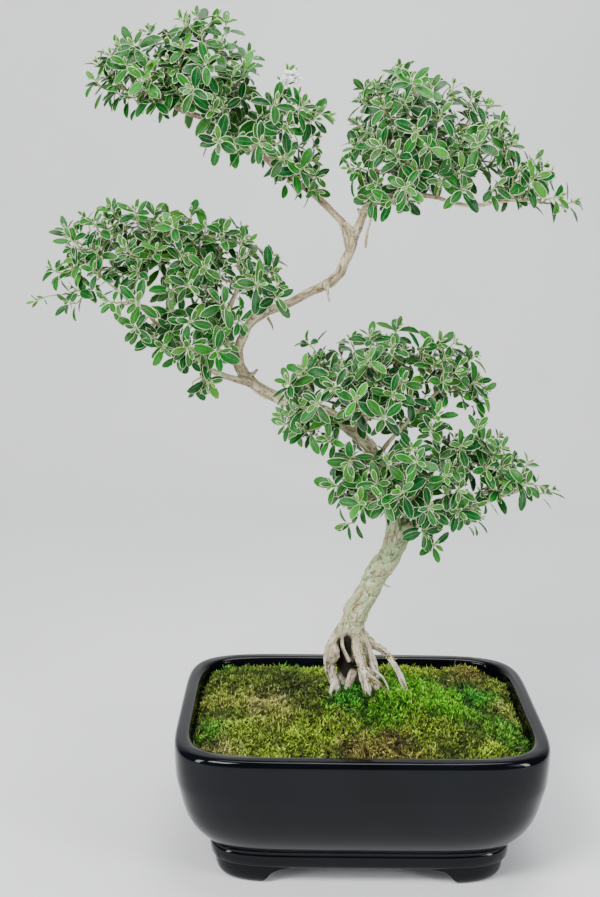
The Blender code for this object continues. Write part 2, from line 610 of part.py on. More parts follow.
def make_flower(mat):
    """An open double flower of white petals on a short throat."""
    base = Vector(FLOWER)
    bm = bmesh.new()
    bmesh.ops.create_cone(bm, cap_ends=True, segments=10, radius1=0.9, radius2=2.2, depth=5.0)
    bmesh.ops.translate(bm, verts=bm.verts, vec=(0, 0, 2.5))
    sides = [f for f in bm.faces if len(f.verts) == 4]
    sides.sort(key=lambda f: math.atan2(f.calc_center_median().y, f.calc_center_median().x))
    for i, f in enumerate(sides):
        c = f.calc_center_median()
        out = Vector((c.x, c.y, 0)).normalized()
        lift = 0.5 if i % 2 == 0 else 1.0
        aim = (out * math.cos(lift) + Vector((0, 0, 1)) * math.sin(lift)).normalized()
        across = Vector((-out.y, out.x, 0))
        up = aim.cross(across).normalized()
        # The petal leaves the throat's upper half.
        g = grow_face(bm, f, Vector((0, 0, 4.0)) + out * 2.3, across, Vector((0, 0, 1)), 0.42, 0.5)
        g = grow_face(bm, g, Vector((0, 0, 4.0)) + out * 2.3 + aim * 3.2, across, up, 1.35 if i % 2 == 0 else 1.0, 0.2)
        g = grow_face(bm, g, Vector((0, 0, 4.0)) + out * 2.3 + aim * 5.2, across, up, 0.7, 0.15)
    tilt = Matrix.Rotation(math.radians(28), 3, "Y") @ Matrix.Rotation(math.radians(25), 3, "X")
    bmesh.ops.rotate(bm, verts=bm.verts, cent=(0, 0, 0), matrix=tilt)
    bmesh.ops.translate(bm, verts=bm.verts, vec=base)
    bmesh.ops.recalc_face_normals(bm, faces=bm.faces)
    return obj_from_bmesh("flower", scaled(bm), mat)


# ---- assembly --------------------------------------------------------------------------
clear_scene()
PARTS = bpy.data.collections.new("serissa_bonsai")
CUTTERS = bpy.data.collections.new("cutters")
bpy.context.scene.collection.children.link(PARTS)
bpy.context.scene.collection.children.link(CUTTERS)

GLAZE = material("black_glaze", (0.004, 0.006, 0.009), 0.08)
BARK = material("bark", (0.42, 0.38, 0.28), 0.85)
LEAF = material("leaf", (0.05, 0.22, 0.06), 0.4)
PETAL = material("petal", (0.9, 0.92, 0.9), 0.6)
EARTH = material("soil", (0.05, 0.035, 0.022), 0.95)
MOSS_GREEN = material("moss", (0.12, 0.26, 0.03), 0.95)
NET = material("screen_plastic", (0.02, 0.02, 0.02), 0.5)
WIRE = material("wire", (0.45, 0.46, 0.47), 0.35, 1.0)

pot = make_pot(GLAZE)
for side, x in (("left", -HOLE_X), ("right", HOLE_X)):
    make_screen("drain_screen_" + side, x, NET)
    make_staple("screen_staple_" + side, x, WIRE)
wood = make_wood("trunk_roots_and_branches", BARK)
ROOTS = [k for k in WOOD if k.startswith("root") or k == "trunk"]
wood_room = as_cutter(make_wood("wood_room", None, grow=1.0, keys=ROOTS))
soil = make_soil(EARTH)
mosses = [make_moss(name, corners, rise, MOSS_GREEN, wood_room) for name, corners, rise in MOSS]
flower = make_flower(PETAL)
make_sprays(LEAF, wood, [flower])

# The origin moves to the middle of the footprint box.
bpy.context.view_layer.update()
low, high = Vector((1e9,) * 3), Vector((-1e9,) * 3)
for obj in PARTS.objects:
    graph = bpy.context.evaluated_depsgraph_get()
    mesh = obj.evaluated_get(graph).to_mesh()
    for v in mesh.vertices:
        for i in range(3):
            low[i], high[i] = min(low[i], v.co[i]), max(high[i], v.co[i])
shift = Vector((-(low.x + high.x) / 2, -(low.y + high.y) / 2, 0.0))
for obj in PARTS.objects:
    obj.location = obj.location + shift
print("shift", [round(c * 1000, 2) for c in shift], "box", [round(c * 1000, 1) for c in low], [round(c * 1000, 1) for c in high])
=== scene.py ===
"""The look of a serissa bonsai in its pot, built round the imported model.

Shapes are worked out in millimetres with the pot's middle at x = y = 0 and the table at z = 0,
and moved into the row frame as each mesh is made."""
import math

import bmesh
import bpy
import numpy as np
from mathutils import Matrix, Vector, noise


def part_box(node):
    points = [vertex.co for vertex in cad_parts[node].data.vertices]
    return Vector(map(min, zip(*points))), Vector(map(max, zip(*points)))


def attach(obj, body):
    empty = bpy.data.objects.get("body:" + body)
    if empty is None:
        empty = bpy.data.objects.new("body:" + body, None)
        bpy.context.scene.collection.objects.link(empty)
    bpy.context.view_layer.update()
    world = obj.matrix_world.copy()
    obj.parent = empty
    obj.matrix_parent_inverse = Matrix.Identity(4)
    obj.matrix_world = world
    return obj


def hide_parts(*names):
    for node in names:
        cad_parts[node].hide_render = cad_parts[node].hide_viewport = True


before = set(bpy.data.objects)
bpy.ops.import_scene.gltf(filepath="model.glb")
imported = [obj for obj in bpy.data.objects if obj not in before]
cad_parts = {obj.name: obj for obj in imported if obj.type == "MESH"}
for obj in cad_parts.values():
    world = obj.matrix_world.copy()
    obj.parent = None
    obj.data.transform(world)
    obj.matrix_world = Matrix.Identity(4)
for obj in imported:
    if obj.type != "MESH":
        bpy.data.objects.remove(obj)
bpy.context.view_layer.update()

RNG = np.random.default_rng(7)
MM = 0.001
_lo, _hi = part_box("pot")
SHIFT = np.array([(_lo.x + _hi.x) / 2 * 1000, (_lo.y + _hi.y) / 2 * 1000, 0.0])
POT_H = _hi.z * 1000

# ---- camera -------------------------------------------------------------------------------
CAM = np.array([-46.0, -845.7, 486.0])
F_PX = 1200.0
PITCH, ROLL = math.radians(12.154), math.radians(0.5527)


def ray(u, v):
    """Direction of a pixel of the 600 x 897 frame."""
    du, dv = u - 300.0, v - 448.5
    c, s = math.cos(ROLL), math.sin(ROLL)
    a, b = du * c + dv * s, -du * s + dv * c
    cp, sp = math.cos(PITCH), math.sin(PITCH)
    return np.array([a / F_PX, cp - b / F_PX * sp, -sp - b / F_PX * cp])


def at_depth(u, v, y):
    d = ray(u, v)
    return CAM + d * ((y - CAM[1]) / d[1])


def at_height(u, v, z):
    d = ray(u, v)
    return CAM + d * ((z - CAM[2]) / d[2])


cam_data = bpy.data.cameras.new("camera")
cam_data.lens = F_PX / 897.0 * 36.0
cam_data.sensor_width = 36.0
cam_data.clip_end = 50.0
cam = bpy.data.objects.new("camera", cam_data)
bpy.context.scene.collection.objects.link(cam)
cam.matrix_world = (
    Matrix.Translation(Vector((CAM + SHIFT) * MM))
    @ Matrix.Rotation(math.pi / 2 - PITCH, 4, "X")
    @ Matrix.Rotation(ROLL, 4, "Z")
)
bpy.context.scene.camera = cam


# ---- mesh and material helpers ------------------------------------------------------------
def new_mesh(name, verts, face_groups, mats=(), mat_index=None, smooth=True, attrs=None, sharp=None):
    """An object from arrays: vertices in mm, and face groups of one size each."""
    me = bpy.data.meshes.new(name)
    verts = (np.asarray(verts, float) + SHIFT) * MM
    me.vertices.add(len(verts))
    me.vertices.foreach_set("co", verts.astype(np.float32).ravel())
    loops = np.concatenate([np.asarray(f, np.int32).ravel() for f in face_groups])
    sizes = np.concatenate([np.full(len(f), np.asarray(f).shape[1], np.int32) for f in face_groups])
    starts = np.concatenate([[0], np.cumsum(sizes)[:-1]]).astype(np.int32)
    me.loops.add(len(loops))
    me.loops.foreach_set("vertex_index", loops)
    me.polygons.add(len(sizes))
    me.polygons.foreach_set("loop_start", starts)
    for m in mats:
        me.materials.append(m)
    if mat_index is not None:
        me.polygons.foreach_set("material_index", np.asarray(mat_index, np.int32))
    me.update(calc_edges=True)
    for key, values in (attrs or {}).items():
        values = np.asarray(values, np.float32)
        if values.ndim == 2:
            a = me.color_attributes.new(key, "FLOAT_COLOR", "POINT")
            a.data.foreach_set("color", np.hstack([values, np.ones((len(values), 1), np.float32)]).ravel())
        else:
            a = me.attributes.new(key, "FLOAT", "POINT")
            a.data.foreach_set("value", values)
    if smooth:
        me.shade_smooth()
        if sharp:
            me.set_sharp_from_angle(angle=math.radians(sharp))
    me.validate()
    obj = bpy.data.objects.new(name, me)
    bpy.context.scene.collection.objects.link(obj)
    return obj


class Nodes:
    """Short calls for a material's node tree."""

    def __init__(self, name):
        self.mat = bpy.data.materials.new(name)
        self.mat.use_nodes = True
        self.tree = self.mat.node_tree
        self.shader = self.tree.nodes["Principled BSDF"]

    def add(self, kind, **inputs):
        n = self.tree.nodes.new(kind)
        for k, v in inputs.items():
            if k.startswith("_"):
                setattr(n, k[1:], v)
        for k, v in inputs.items():
            if not k.startswith("_"):
                self.put(n, k, v)
        return n

    def put(self, n, key, v):
        socket = n.inputs[int(key[1:])] if key[0] == "i" and key[1:].isdigit() else n.inputs[key.replace("_", " ")]
        if isinstance(v, bpy.types.NodeSocket):
            self.tree.links.new(v, socket)
        else:
            socket.default_value = v

    def set(self, key, v):
        if isinstance(v, bpy.types.NodeSocket):
            self.tree.links.new(v, self.shader.inputs[key])
        else:
            self.shader.inputs[key].default_value = v

    def coords(self):
        return self.add("ShaderNodeTexCoord").outputs["Object"]

    def attr(self, name, out="Fac"):
        return self.add("ShaderNodeAttribute", _attribute_name=name).outputs[out]

    def noise(self, scale, detail=4.0, rough=0.55, vector=None, distortion=0.0):
        return self.add("ShaderNodeTexNoise", Vector=vector or self.coords(), Scale=scale, Detail=detail, Roughness=rough, Distortion=distortion).outputs["Fac"]

    def ramp(self, fac, stops, interpolation="LINEAR"):
        n = self.add("ShaderNodeValToRGB", Fac=fac)
        r = n.color_ramp
        r.interpolation = interpolation
        while len(r.elements) < len(stops):
            r.elements.new(0.5)
        for e, (p, c) in zip(r.elements, stops):
            e.position = p
            e.color = (*c, 1.0) if len(c) == 3 else c
        return n.outputs["Color"]

    def math(self, op, a, b=0.0, clamp=False):
        return self.add("ShaderNodeMath", _operation=op, _use_clamp=clamp, i0=a, i1=b).outputs[0]

    def span(self, v, lo, hi, a=0.0, b=1.0):
        return self.add("ShaderNodeMapRange", _interpolation_type="SMOOTHSTEP", Value=v, From_Min=lo, From_Max=hi, To_Min=a, To_Max=b).outputs[0]

    def mix(self, fac, a, b, blend="MIX"):
        n = self.add("ShaderNodeMix", _data_type="RGBA", _blend_type=blend)
        for socket, v in ((n.inputs[0], fac), (n.inputs[6], a), (n.inputs[7], b)):
            if isinstance(v, bpy.types.NodeSocket):
                self.tree.links.new(v, socket)
            else:
                socket.default_value = (*v, 1.0) if isinstance(v, tuple) and len(v) == 3 else v
        return n.outputs[2]

    def bump(self, height, strength, distance, normal=None):
        n = self.add("ShaderNodeBump", Height=height, Strength=strength, Distance=distance)
        if normal is not None:
            self.put(n, "Normal", normal)
        return n.outputs[0]


# ---- materials ----------------------------------------------------------------------------
def leaf_material(name, under=False):
    m = Nodes(name)
    co = m.coords()
    tint, young, rim, mid = m.attr("tint"), m.attr("young"), m.attr("rim"), m.attr("mid")
    blotch = m.noise(260.0, 3.0, 0.6, co)
    if under:
        green = m.ramp(tint, [(0.0, (0.025, 0.12, 0.022)), (1.0, (0.06, 0.22, 0.04))])
    else:
        green = m.ramp(tint, [(0.0, (0.001, 0.036, 0.006)), (0.45, (0.002, 0.080, 0.010)), (0.8, (0.005, 0.135, 0.010)), (1.0, (0.022, 0.24, 0.013))])
        grey = m.mix(m.math("MULTIPLY", blotch, 0.5), green, (0.008, 0.125, 0.030))
        green = m.mix(m.span(blotch, 0.5, 0.68), green, grey)
    green = m.mix(m.math("MULTIPLY", young, 0.80), green, (0.10, 0.36, 0.018))
    wave = m.math("MULTIPLY_ADD", m.noise(700.0, 2.0, 0.5, co), 0.36)
    wave.node.inputs[2].default_value = 0.10
    soft = m.span(m.math("SUBTRACT", rim, wave), -0.10, 0.12, 1.0, 0.0)
    cream = m.ramp(m.noise(500.0, 2.0, 0.5, co), [(0.3, (0.72, 0.80, 0.46)), (0.7, (0.93, 0.94, 0.76))])
    colour = m.mix(m.math("MULTIPLY", soft, 0.75 if under else 0.96), green, cream)
    rib = m.span(m.math("ABSOLUTE", mid), 0.06, 0.24, 1.0, 0.0)
    colour = m.mix(m.math("MULTIPLY", rib, 0.40 if under else 0.28), colour, (0.26, 0.46, 0.13))
    m.set("Base Color", colour)
    m.set("Roughness", m.span(blotch, 0.3, 0.7, 0.25 if not under else 0.5, 0.37 if not under else 0.62))
    m.set("Specular IOR Level", 0.22)
    veins = m.math("MULTIPLY_ADD", m.math("ABSOLUTE", mid), -1.0)
    veins.node.inputs[2].default_value = 0.0
    side = m.math("SINE", m.math("ADD", m.math("MULTIPLY", m.attr("along"), 3.4), m.math("MULTIPLY", m.math("ABSOLUTE", mid), 1.6)))
    height = m.math("ADD", m.math("MULTIPLY", rib, -0.8), m.math("MULTIPLY", side, 0.22))
    height = m.math("ADD", height, m.math("MULTIPLY", m.noise(1400.0, 3.0, 0.6, co), 0.5))
    m.set("Normal", m.bump(height, 0.5, 0.00035))
    m.set("Subsurface Weight", 0.0)
    return m.mat


def stem_material():
    m = Nodes("green_stem")
    co = m.coords()
    age = m.attr("young")
    n = m.noise(500.0, 4.0, 0.6, co)
    green = m.ramp(n, [(0.3, (0.20, 0.34, 0.06)), (0.7, (0.40, 0.52, 0.14))])
    brown = m.ramp(n, [(0.3, (0.16, 0.10, 0.05)), (0.7, (0.36, 0.27, 0.15))])
    m.set("Base Color", m.mix(age, brown, green))
    m.set("Roughness", 0.6)
    m.set("Normal", m.bump(m.noise(1600.0, 3.0, 0.6, co), 0.4, 0.0004))
    return m.mat


def bark_material():
    m = Nodes("pale_flaking_bark")
    co = m.coords()
    grain = m.attr("grain", "Vector")
    pit, dark = m.attr("pit"), m.attr("dark")
    fibre = m.noise(0.55, 7.0, 0.66, grain, 0.3)
    broad = m.noise(0.16, 3.0, 0.55, grain)
    fine = m.noise(1500.0, 4.0, 0.65, co)
    base = m.ramp(fibre, [(0.30, (0.17, 0.12, 0.065)), (0.42, (0.40, 0.34, 0.20)), (0.53, (0.62, 0.57, 0.38)), (0.68, (0.82, 0.79, 0.60))])
    base = m.mix(m.span(broad, 0.40, 0.62, 0.45, 0.0), base, (0.42, 0.33, 0.20))
    z = m.add("ShaderNodeSeparateXYZ", Vector=co).outputs["Z"]
    low = m.span(z, 0.150, 0.190, 0.0, 1.0)
    high = m.span(z, 0.235, 0.300, 1.0, 0.0)
    lichen = m.span(m.noise(150.0, 5.0, 0.65, co), 0.40, 0.56)
    lichen = m.math("MULTIPLY", m.math("MULTIPLY", m.math("MULTIPLY", low, high), lichen), 0.88)
    tone = m.ramp(fine, [(0.35, (0.24, 0.40, 0.15)), (0.65, (0.52, 0.70, 0.38))])
    base = m.mix(lichen, base, tone)
    foot = m.span(z, 0.125, 0.172, 1.0, 0.0)
    roots = m.ramp(m.noise(0.30, 7.0, 0.70, grain), [(0.34, (0.045, 0.028, 0.018)), (0.43, (0.28, 0.20, 0.13)), (0.50, (0.66, 0.60, 0.46)), (0.62, (0.92, 0.92, 0.84))])
    base = m.mix(m.math("MULTIPLY", foot, 0.95), base, roots)
    base = m.mix(m.math("MULTIPLY", m.attr("warm"), 0.6), base, m.ramp(fibre, [(0.35, (0.20, 0.12, 0.07)), (0.6, (0.48, 0.34, 0.22))]))
    # Painted shade: the bark's cracks and ridge troughs are painted dark.
    base = m.mix(m.math("MULTIPLY", pit, 0.95), base, (0.045, 0.030, 0.016))
    # Painted shade: near black in the hollow between the left and the front root.
    base = m.mix(dark, base, (0.012, 0.009, 0.006))
    m.set("Base Color", base)
    m.set("Roughness", m.span(fibre, 0.3, 0.7, 0.95, 0.70))
    m.set("Specular IOR Level", 0.22)
    height = m.math("ADD", fibre, m.math("MULTIPLY", fine, 0.25))
    m.set("Normal", m.bump(height, 1.0, 0.0014))
    return m.mat


def twig_material():
    m = Nodes("woody_twig")
    co = m.coords()
    n = m.noise(420.0, 5.0, 0.62, co)
    old = m.ramp(n, [(0.28, (0.17, 0.12, 0.07)), (0.5, (0.40, 0.33, 0.22)), (0.72, (0.66, 0.60, 0.46))])
    new = m.ramp(n, [(0.3, (0.20, 0.30, 0.07)), (0.7, (0.42, 0.50, 0.18))])
    m.set("Base Color", m.mix(m.attr("young"), old, new))
    m.set("Roughness", 0.8)
    m.set("Specular IOR Level", 0.25)
    m.set("Normal", m.bump(m.noise(1500.0, 5.0, 0.6, co), 0.7, 0.0007))
    return m.mat


def glaze_material():
    m = Nodes("black_glaze")
    co = m.coords()
    cloud = m.noise(18.0, 3.0, 0.5, co)
    m.set("Base Color", m.ramp(cloud, [(0.3, (0.0012, 0.0016, 0.0026)), (0.7, (0.0024, 0.0034, 0.0054))]))
    specks = m.add("ShaderNodeTexVoronoi", Vector=co, Scale=170.0).outputs["Distance"]
    dust = m.span(specks, 0.0, 0.05, 1.0, 0.0)
    m.set("Roughness", m.math("ADD", m.span(cloud, 0.3, 0.7, 0.035, 0.065), m.math("MULTIPLY", dust, 0.25)))
    m.set("Specular IOR Level", 0.18)
    peel = m.math("ADD", m.noise(34.0, 2.0, 0.5, co), m.math("MULTIPLY", m.noise(260.0, 2.0, 0.5, co), 0.06))
    m.set("Normal", m.bump(peel, 0.10, 0.0016))
    return m.mat


def soil_material():
    m = Nodes("damp_soil")
    co = m.coords()
    n = m.noise(420.0, 6.0, 0.7, co)
    m.set("Base Color", m.ramp(n, [(0.3, (0.008, 0.006, 0.004)), (0.6, (0.045, 0.030, 0.018)), (0.8, (0.12, 0.09, 0.055))]))
    m.set("Roughness", m.span(n, 0.3, 0.7, 0.7, 0.97))
    m.set("Normal", m.bump(n, 1.0, 0.002))
    return m.mat


def moss_material():
    m = Nodes("moss_filaments")
    co = m.coords()
    col = m.attr("tone", "Color")
    n = m.noise(700.0, 3.0, 0.6, co)
    dark = m.mix(1.0, col, (0.42, 0.42, 0.42), "MULTIPLY")
    light = m.mix(1.0, col, (1.35, 1.3, 1.2), "MULTIPLY")
    m.set("Base Color", m.mix(m.span(n, 0.35, 0.65), dark, light))
    m.set("Roughness", m.span(n, 0.3, 0.7, 0.55, 0.85))
    m.set("Specular IOR Level", 0.3)
    m.set("Normal", m.bump(n, 0.5, 0.0006))
    return m.mat


def petal_material():
    m = Nodes("white_petal")
    co = m.coords()
    n = m.noise(600.0, 4.0, 0.6, co)
    m.set("Base Color", m.ramp(n, [(0.3, (0.72, 0.80, 0.76)), (0.7, (0.93, 0.96, 0.95))]))
    m.set("Roughness", m.span(n, 0.3, 0.7, 0.45, 0.7))
    m.set("Normal", m.bump(n, 0.4, 0.0005))
    return m.mat


def screen_material():
    m = Nodes("screen_plastic")
    n = m.noise(900.0, 4.0, 0.6)
    m.set("Base Color", m.ramp(n, [(0.3, (0.010, 0.010, 0.011)), (0.7, (0.03, 0.03, 0.032))]))
    m.set("Roughness", m.span(n, 0.3, 0.7, 0.4, 0.65))
    m.set("Normal", m.bump(n, 0.4, 0.0004))
    return m.mat


def wire_material():
    m = Nodes("dull_wire")
    n = m.noise(1200.0, 4.0, 0.6)
    m.set("Base Color", m.ramp(n, [(0.3, (0.36, 0.36, 0.37)), (0.7, (0.58, 0.58, 0.57))]))
    m.set("Metallic", 1.0)
    m.set("Roughness", m.span(n, 0.3, 0.7, 0.3, 0.5))
    return m.mat


LEAF_TOP, LEAF_UNDER = leaf_material("leaf_upper_face"), leaf_material("leaf_lower_face", True)
STEM, BARK, TWIG = stem_material(), bark_material(), twig_material()
GLAZE, SOIL, MOSS, PETAL = glaze_material(), soil_material(), moss_material(), petal_material()

# ---- the tree's lines: (x, y, z, radius) in mm ---------------------------------------------
LIFT = 8.0
WOOD = {
    "trunk": [(-5, 14, 101, 8.0), (-6, 13, 118, 9.2), (-6, 12, 145, 9.2), (-6, 12, 161, 8.4), (-1, 12, 175, 7.9), (4, 10, 189, 7.4), (12, 8, 205, 7.3), (19, 6, 216, 7.0), (27, 4, 229, 6.6)],
    "main_left": [(22, 5, 221, 5.6), (23, 4, 239, 4.8), (19, 2, 254, 4.3), (15, -2, 274, 4.2), (9, -6, 289, 4.3), (3, -8, 300, 4.4), (-6, -8, 309, 4.4), (-18, -6, 318, 4.2), (-32, -3, 325, 4.1), (-46, 0, 328, 4.1), (-57, 3, 330, 4.1), (-67, 6, 334, 4.2), (-76, 8, 338, 4.3), (-84, 10, 345, 4.3), (-90, 12, 353, 4.2), (-93, 14, 361, 4.0)],
    "upper_right": [(-90, 12, 353, 3.8), (-91, 15, 366, 3.6), (-86, 18, 378, 3.4), (-81, 20, 386, 3.4), (-71, 22, 392, 3.2), (-56, 22, 398, 3.1), (-41, 20, 406, 3.2), (-27, 16, 413, 3.4), (-20, 12, 420, 3.5), (-16, 8, 429, 3.4), (-12, 5, 438, 3.2), (-10, 2, 448, 3.0)],
    "mid_up_left": [(-90, 12, 353, 3.2), (-98, 10, 370, 2.7), (-101, 4, 382, 2.3), (-103, 0, 394, 2.1), (-108, -4, 405, 1.9), (-116, -8, 415, 1.7), (-127, -8, 423, 1.5), (-140, -6, 428, 1.3)],
    "mid_low_left": [(-80, 9, 341, 2.8), (-97, 6, 346, 2.2), (-108, 2, 351, 2.0), (-116, -2, 358, 1.8), (-123, -5, 369, 1.7), (-135, -10, 377, 1.5), (-146, -14, 386, 1.5), (-153, -18, 395, 1.4), (-164, -20, 403, 1.3)],
    "mid_back": [(-101, 4, 382, 2.0), (-98, 14, 394, 1.7), (-92, 22, 408, 1.5), (-88, 26, 420, 1.3)],
    "mid_over": [(-71, 22, 392, 2.3), (-76, 12, 398, 1.8), (-80, 2, 404, 1.5), (-82, -8, 410, 1.3)],
    "up_left_branch": [(-13, 5, 438, 2.8), (-17, 5, 454, 2.5), (-22, 6, 460, 2.4), (-30, 10, 468, 2.3), (-39, 12, 476, 2.2), (-51, 12, 484, 2.2), (-67, 10, 495, 2.1), (-85, 6, 513, 2.0), (-97, 2, 521, 1.9), (-116, -2, 526, 1.8), (-129, -4, 530, 1.6), (-139, -4, 536, 1.4), (-151, -3, 541, 1.3)],
    "up_left_rise": [(-97, 2, 521, 1.7), (-104, 2, 534, 1.5), (-112, 1, 548, 1.4), (-116, 0, 562, 1.3)],
    "up_left_front": [(-60, 11, 490, 1.6), (-64, 0, 494, 1.5), (-72, -10, 500, 1.4), (-82, -18, 504, 1.3)],
    "up_left_back": [(-67, 10, 495, 1.6), (-70, 18, 506, 1.5), (-76, 24, 520, 1.3)],
    "up_right_branch": [(-12, 5, 440, 3.0), (-7, 0, 453, 2.8), (-5, -2, 460, 2.6), (-2, -4, 468, 2.4), (0, -4, 482, 2.1), (5, -2, 499, 1.8), (12, 2, 512, 1.5), (20, 4, 522, 1.3)],
    "right_long": [(-3, -4, 466, 2.2), (15, -10, 474, 1.8), (39, -14, 475, 1.6), (59, -16, 470, 1.5), (72, -16, 469, 1.5), (89, -14, 472, 1.4), (107, -12, 473, 1.3), (118, -10, 471, 1.2)],
    "right_up": [(2, -3, 490, 1.8), (16, 6, 492, 1.6), (34, 12, 496, 1.5), (50, 12, 500, 1.3)],
    "low_right": [(28, 4, 231, 4.2), (36, 2, 238, 3.2), (44, 0, 243, 2.7), (56, -6, 249, 2.1), (75, -10, 255, 1.7), (94, -14, 264, 1.5), (110, -15, 270, 1.3)],
    "low_up": [(28, 4, 226, 4.4), (34, 8, 250, 3.0), (37, 14, 270, 2.4), (46, 18, 283, 2.0), (61, 20, 291, 1.7), (75, 18, 297, 1.4)],
    "low_front": [(16, -2, 271, 2.2), (10, -12, 268, 1.7), (4, -20, 264, 1.5), (-4, -26, 262, 1.3)],
    "diag": [(8, -6, 290, 2.0), (19, -11, 306, 1.5), (27, -12, 315, 1.4), (35, -12, 324, 1.4), (45, -10, 334, 1.4), (52, -8, 342, 1.3), (54, -6, 353, 1.3)],
    "centre_up": [(-8, -8, 311, 3.2), (2, -2, 323, 2.8), (5, 4, 334, 2.5), (8, 10, 346, 2.1), (14, 14, 356, 1.7), (20, 16, 364, 1.4)],
    "left_small": [(-32, -3, 325, 2.4), (-38, -10, 337, 1.8), (-43, -16, 347, 1.5), (-47, -20, 354, 1.3)],
    "root_left": [(-9, 12, 160, 5.0), (-18, 9, 148, 4.6), (-22, 7, 136, 4.8), (-21, 5, 122, 4.9), (-17, 2, 112, 4.4), (-13, -1, 98, 3.6)],
    "root_front": [(-3, 8, 156, 4.6), (-3, 1, 143, 4.2), (0, -4, 130, 4.2), (3, -8, 119, 4.0), (6, -12, 108, 3.2), (8, -14, 96, 2.4)],
    "root_strand": [(-11, 8, 155, 2.2), (-13, 2, 146, 1.8), (-8, -3, 134, 1.8), (-1, -6, 124, 1.8)],
    "root_fork": [(0, -3, 132, 3.0), (8, -4, 124, 3.0), (13, -7, 114, 2.6), (15, -10, 98, 2.0)],
    "root_right": [(2, 12, 150, 4.0), (9, 9, 144, 3.0), (17, 7, 140, 2.4), (25, 4, 133, 2.2), (32, 0, 122, 2.0), (37, -4, 108, 1.8), (40, -7, 97, 1.6)],
    "root_back": [(-7, 16, 140, 6.0), (-8, 24, 126, 5.0), (-10, 32, 112, 4.0), (-12, 38, 98, 3.0)],
    "root_back_right": [(0, 16, 138, 5.0), (8, 22, 124, 4.0), (14, 28, 110, 3.4), (18, 32, 98, 2.6)],
}
WOOD = {k: np.array([(x, y, z + LIFT, r) for x, y, z, r in v], float) for k, v in WOOD.items()}
def widen(key, lo, hi, by, dx=0.0):
    """Thickens and shifts the part of a line between two heights, with soft ends."""
    z = WOOD[key][:, 2]
    w = np.clip(np.minimum(z - lo, hi - z) / 12.0, 0, 1)
    WOOD[key][:, 3] *= 1 + (by - 1) * w
    WOOD[key][:, 0] += dx * w


widen("root_front", 110, 164, 0.84, 1.8)
WOOD["root_strand"] = WOOD["root_strand"][:3] * np.array([1, 1, 1, 0.85])
widen("root_left", 112, 163, 0.74)
widen("root_right", 105, 152, 1.05, -1.0)
widen("trunk", 120, 260, 1.10, 1.2)
widen("trunk", 185, 240, 1.0, 2.2)
widen("main_left", 215, 290, 1.08)
widen("low_right", 230, 262, 1.25)
# Small woody details that only the visible bark has: snags, cut stubs and peeling strands.
SNAGS = [
    [(11, 5, 200, 1.6), (16, 4, 201, 1.0), (21, 3, 199, 0.8), (22.5, 3, 199.5, 0.6)],
    [(-9, 3, 453, 2.6), (-12, 1, 459, 2.2), (-16, 0, 464, 1.9)],
    [(-6, 0, 462, 2.0), (-6, -2, 470, 1.5), (-8, -3, 474, 1.2)],
    [(-2, -3, 447, 1.2), (-1, -5, 458, 1.0), (2, -6, 470, 0.9), (4, -5, 482, 0.7)],
    [(-28, 14, 420, 1.6), (-27, 12, 413, 1.0), (-26, 11, 408, 0.6)],
    [(-70, 18, 396, 1.6), (-67, 15, 391, 1.0), (-66, 14, 387, 0.6)],
    [(-86, 10, 355, 2.2), (-80, 8, 357, 1.6), (-77, 7, 360, 1.2)],
    [(-93, 8, 520, 2.4), (-96, 4, 515, 2.6), (-98, 1, 511, 2.2)],
    [(-21, 4, 152, 3.4), (-20, 2, 149, 4.9), (-20, 2, 145, 4.8), (-21, 3, 140, 3.4)],
    [(-17, 9, 160, 1.8), (-24, 4, 152, 1.4), (-26, 1, 142, 1.0), (-25, -1, 132, 0.8)],
    [(-19, 0, 124, 1.6), (-22, -5, 115, 1.5), (-22, -9, 104, 1.3)],
    [(6, -6, 132, 1.4), (14, -6, 128, 1.1), (20, -8, 119, 1.0), (22, -10, 106, 0.9)],
    [(10, 2, 146, 1.5), (13, 0, 138, 1.2), (14, -3, 130, 1.0)],
    [(3, 4, 160, 2.2), (7, 2, 152, 1.8), (9, 0, 143, 1.5), (10, -3, 134, 1.2)],
    [(8, -4, 142, 1.4), (12, -7, 136, 1.2), (17, -8, 132, 1.0), (21, -10, 125, 0.9), (24, -11, 114, 0.7)],
    [(-4, 4, 132, 3.4), (-6, 0, 127, 3.0), (-8, -3, 121, 2.6), (-8, -5, 112, 2.0)],
]
SNAGS = [np.array([(x, y, z, r) for x, y, z, r in s], float) for s in SNAGS]


def spline(points, step):
    """Catmull-Rom through rows of (x, y, z, ...), about step mm apart."""
    p = np.vstack([2 * points[0] - points[1], points, 2 * points[-1] - points[-2]])
    out = []
    for i in range(1, len(p) - 2):
        a, b, c, d = p[i - 1 : i + 3]
        n = max(1, round(float(np.linalg.norm(c[:3] - b[:3])) / step))
        t = (np.arange(n) / n)[:, None]
        out.append(0.5 * (2 * b + (c - a) * t + (2 * a - 5 * b + 4 * c - d) * t**2 + (3 * b - a - 3 * c + d) * t**3))
    out.append(p[-2][None])
    return np.vstack(out)


def unit(v):
    return v / np.maximum(np.linalg.norm(v, axis=-1, keepdims=True), 1e-9)


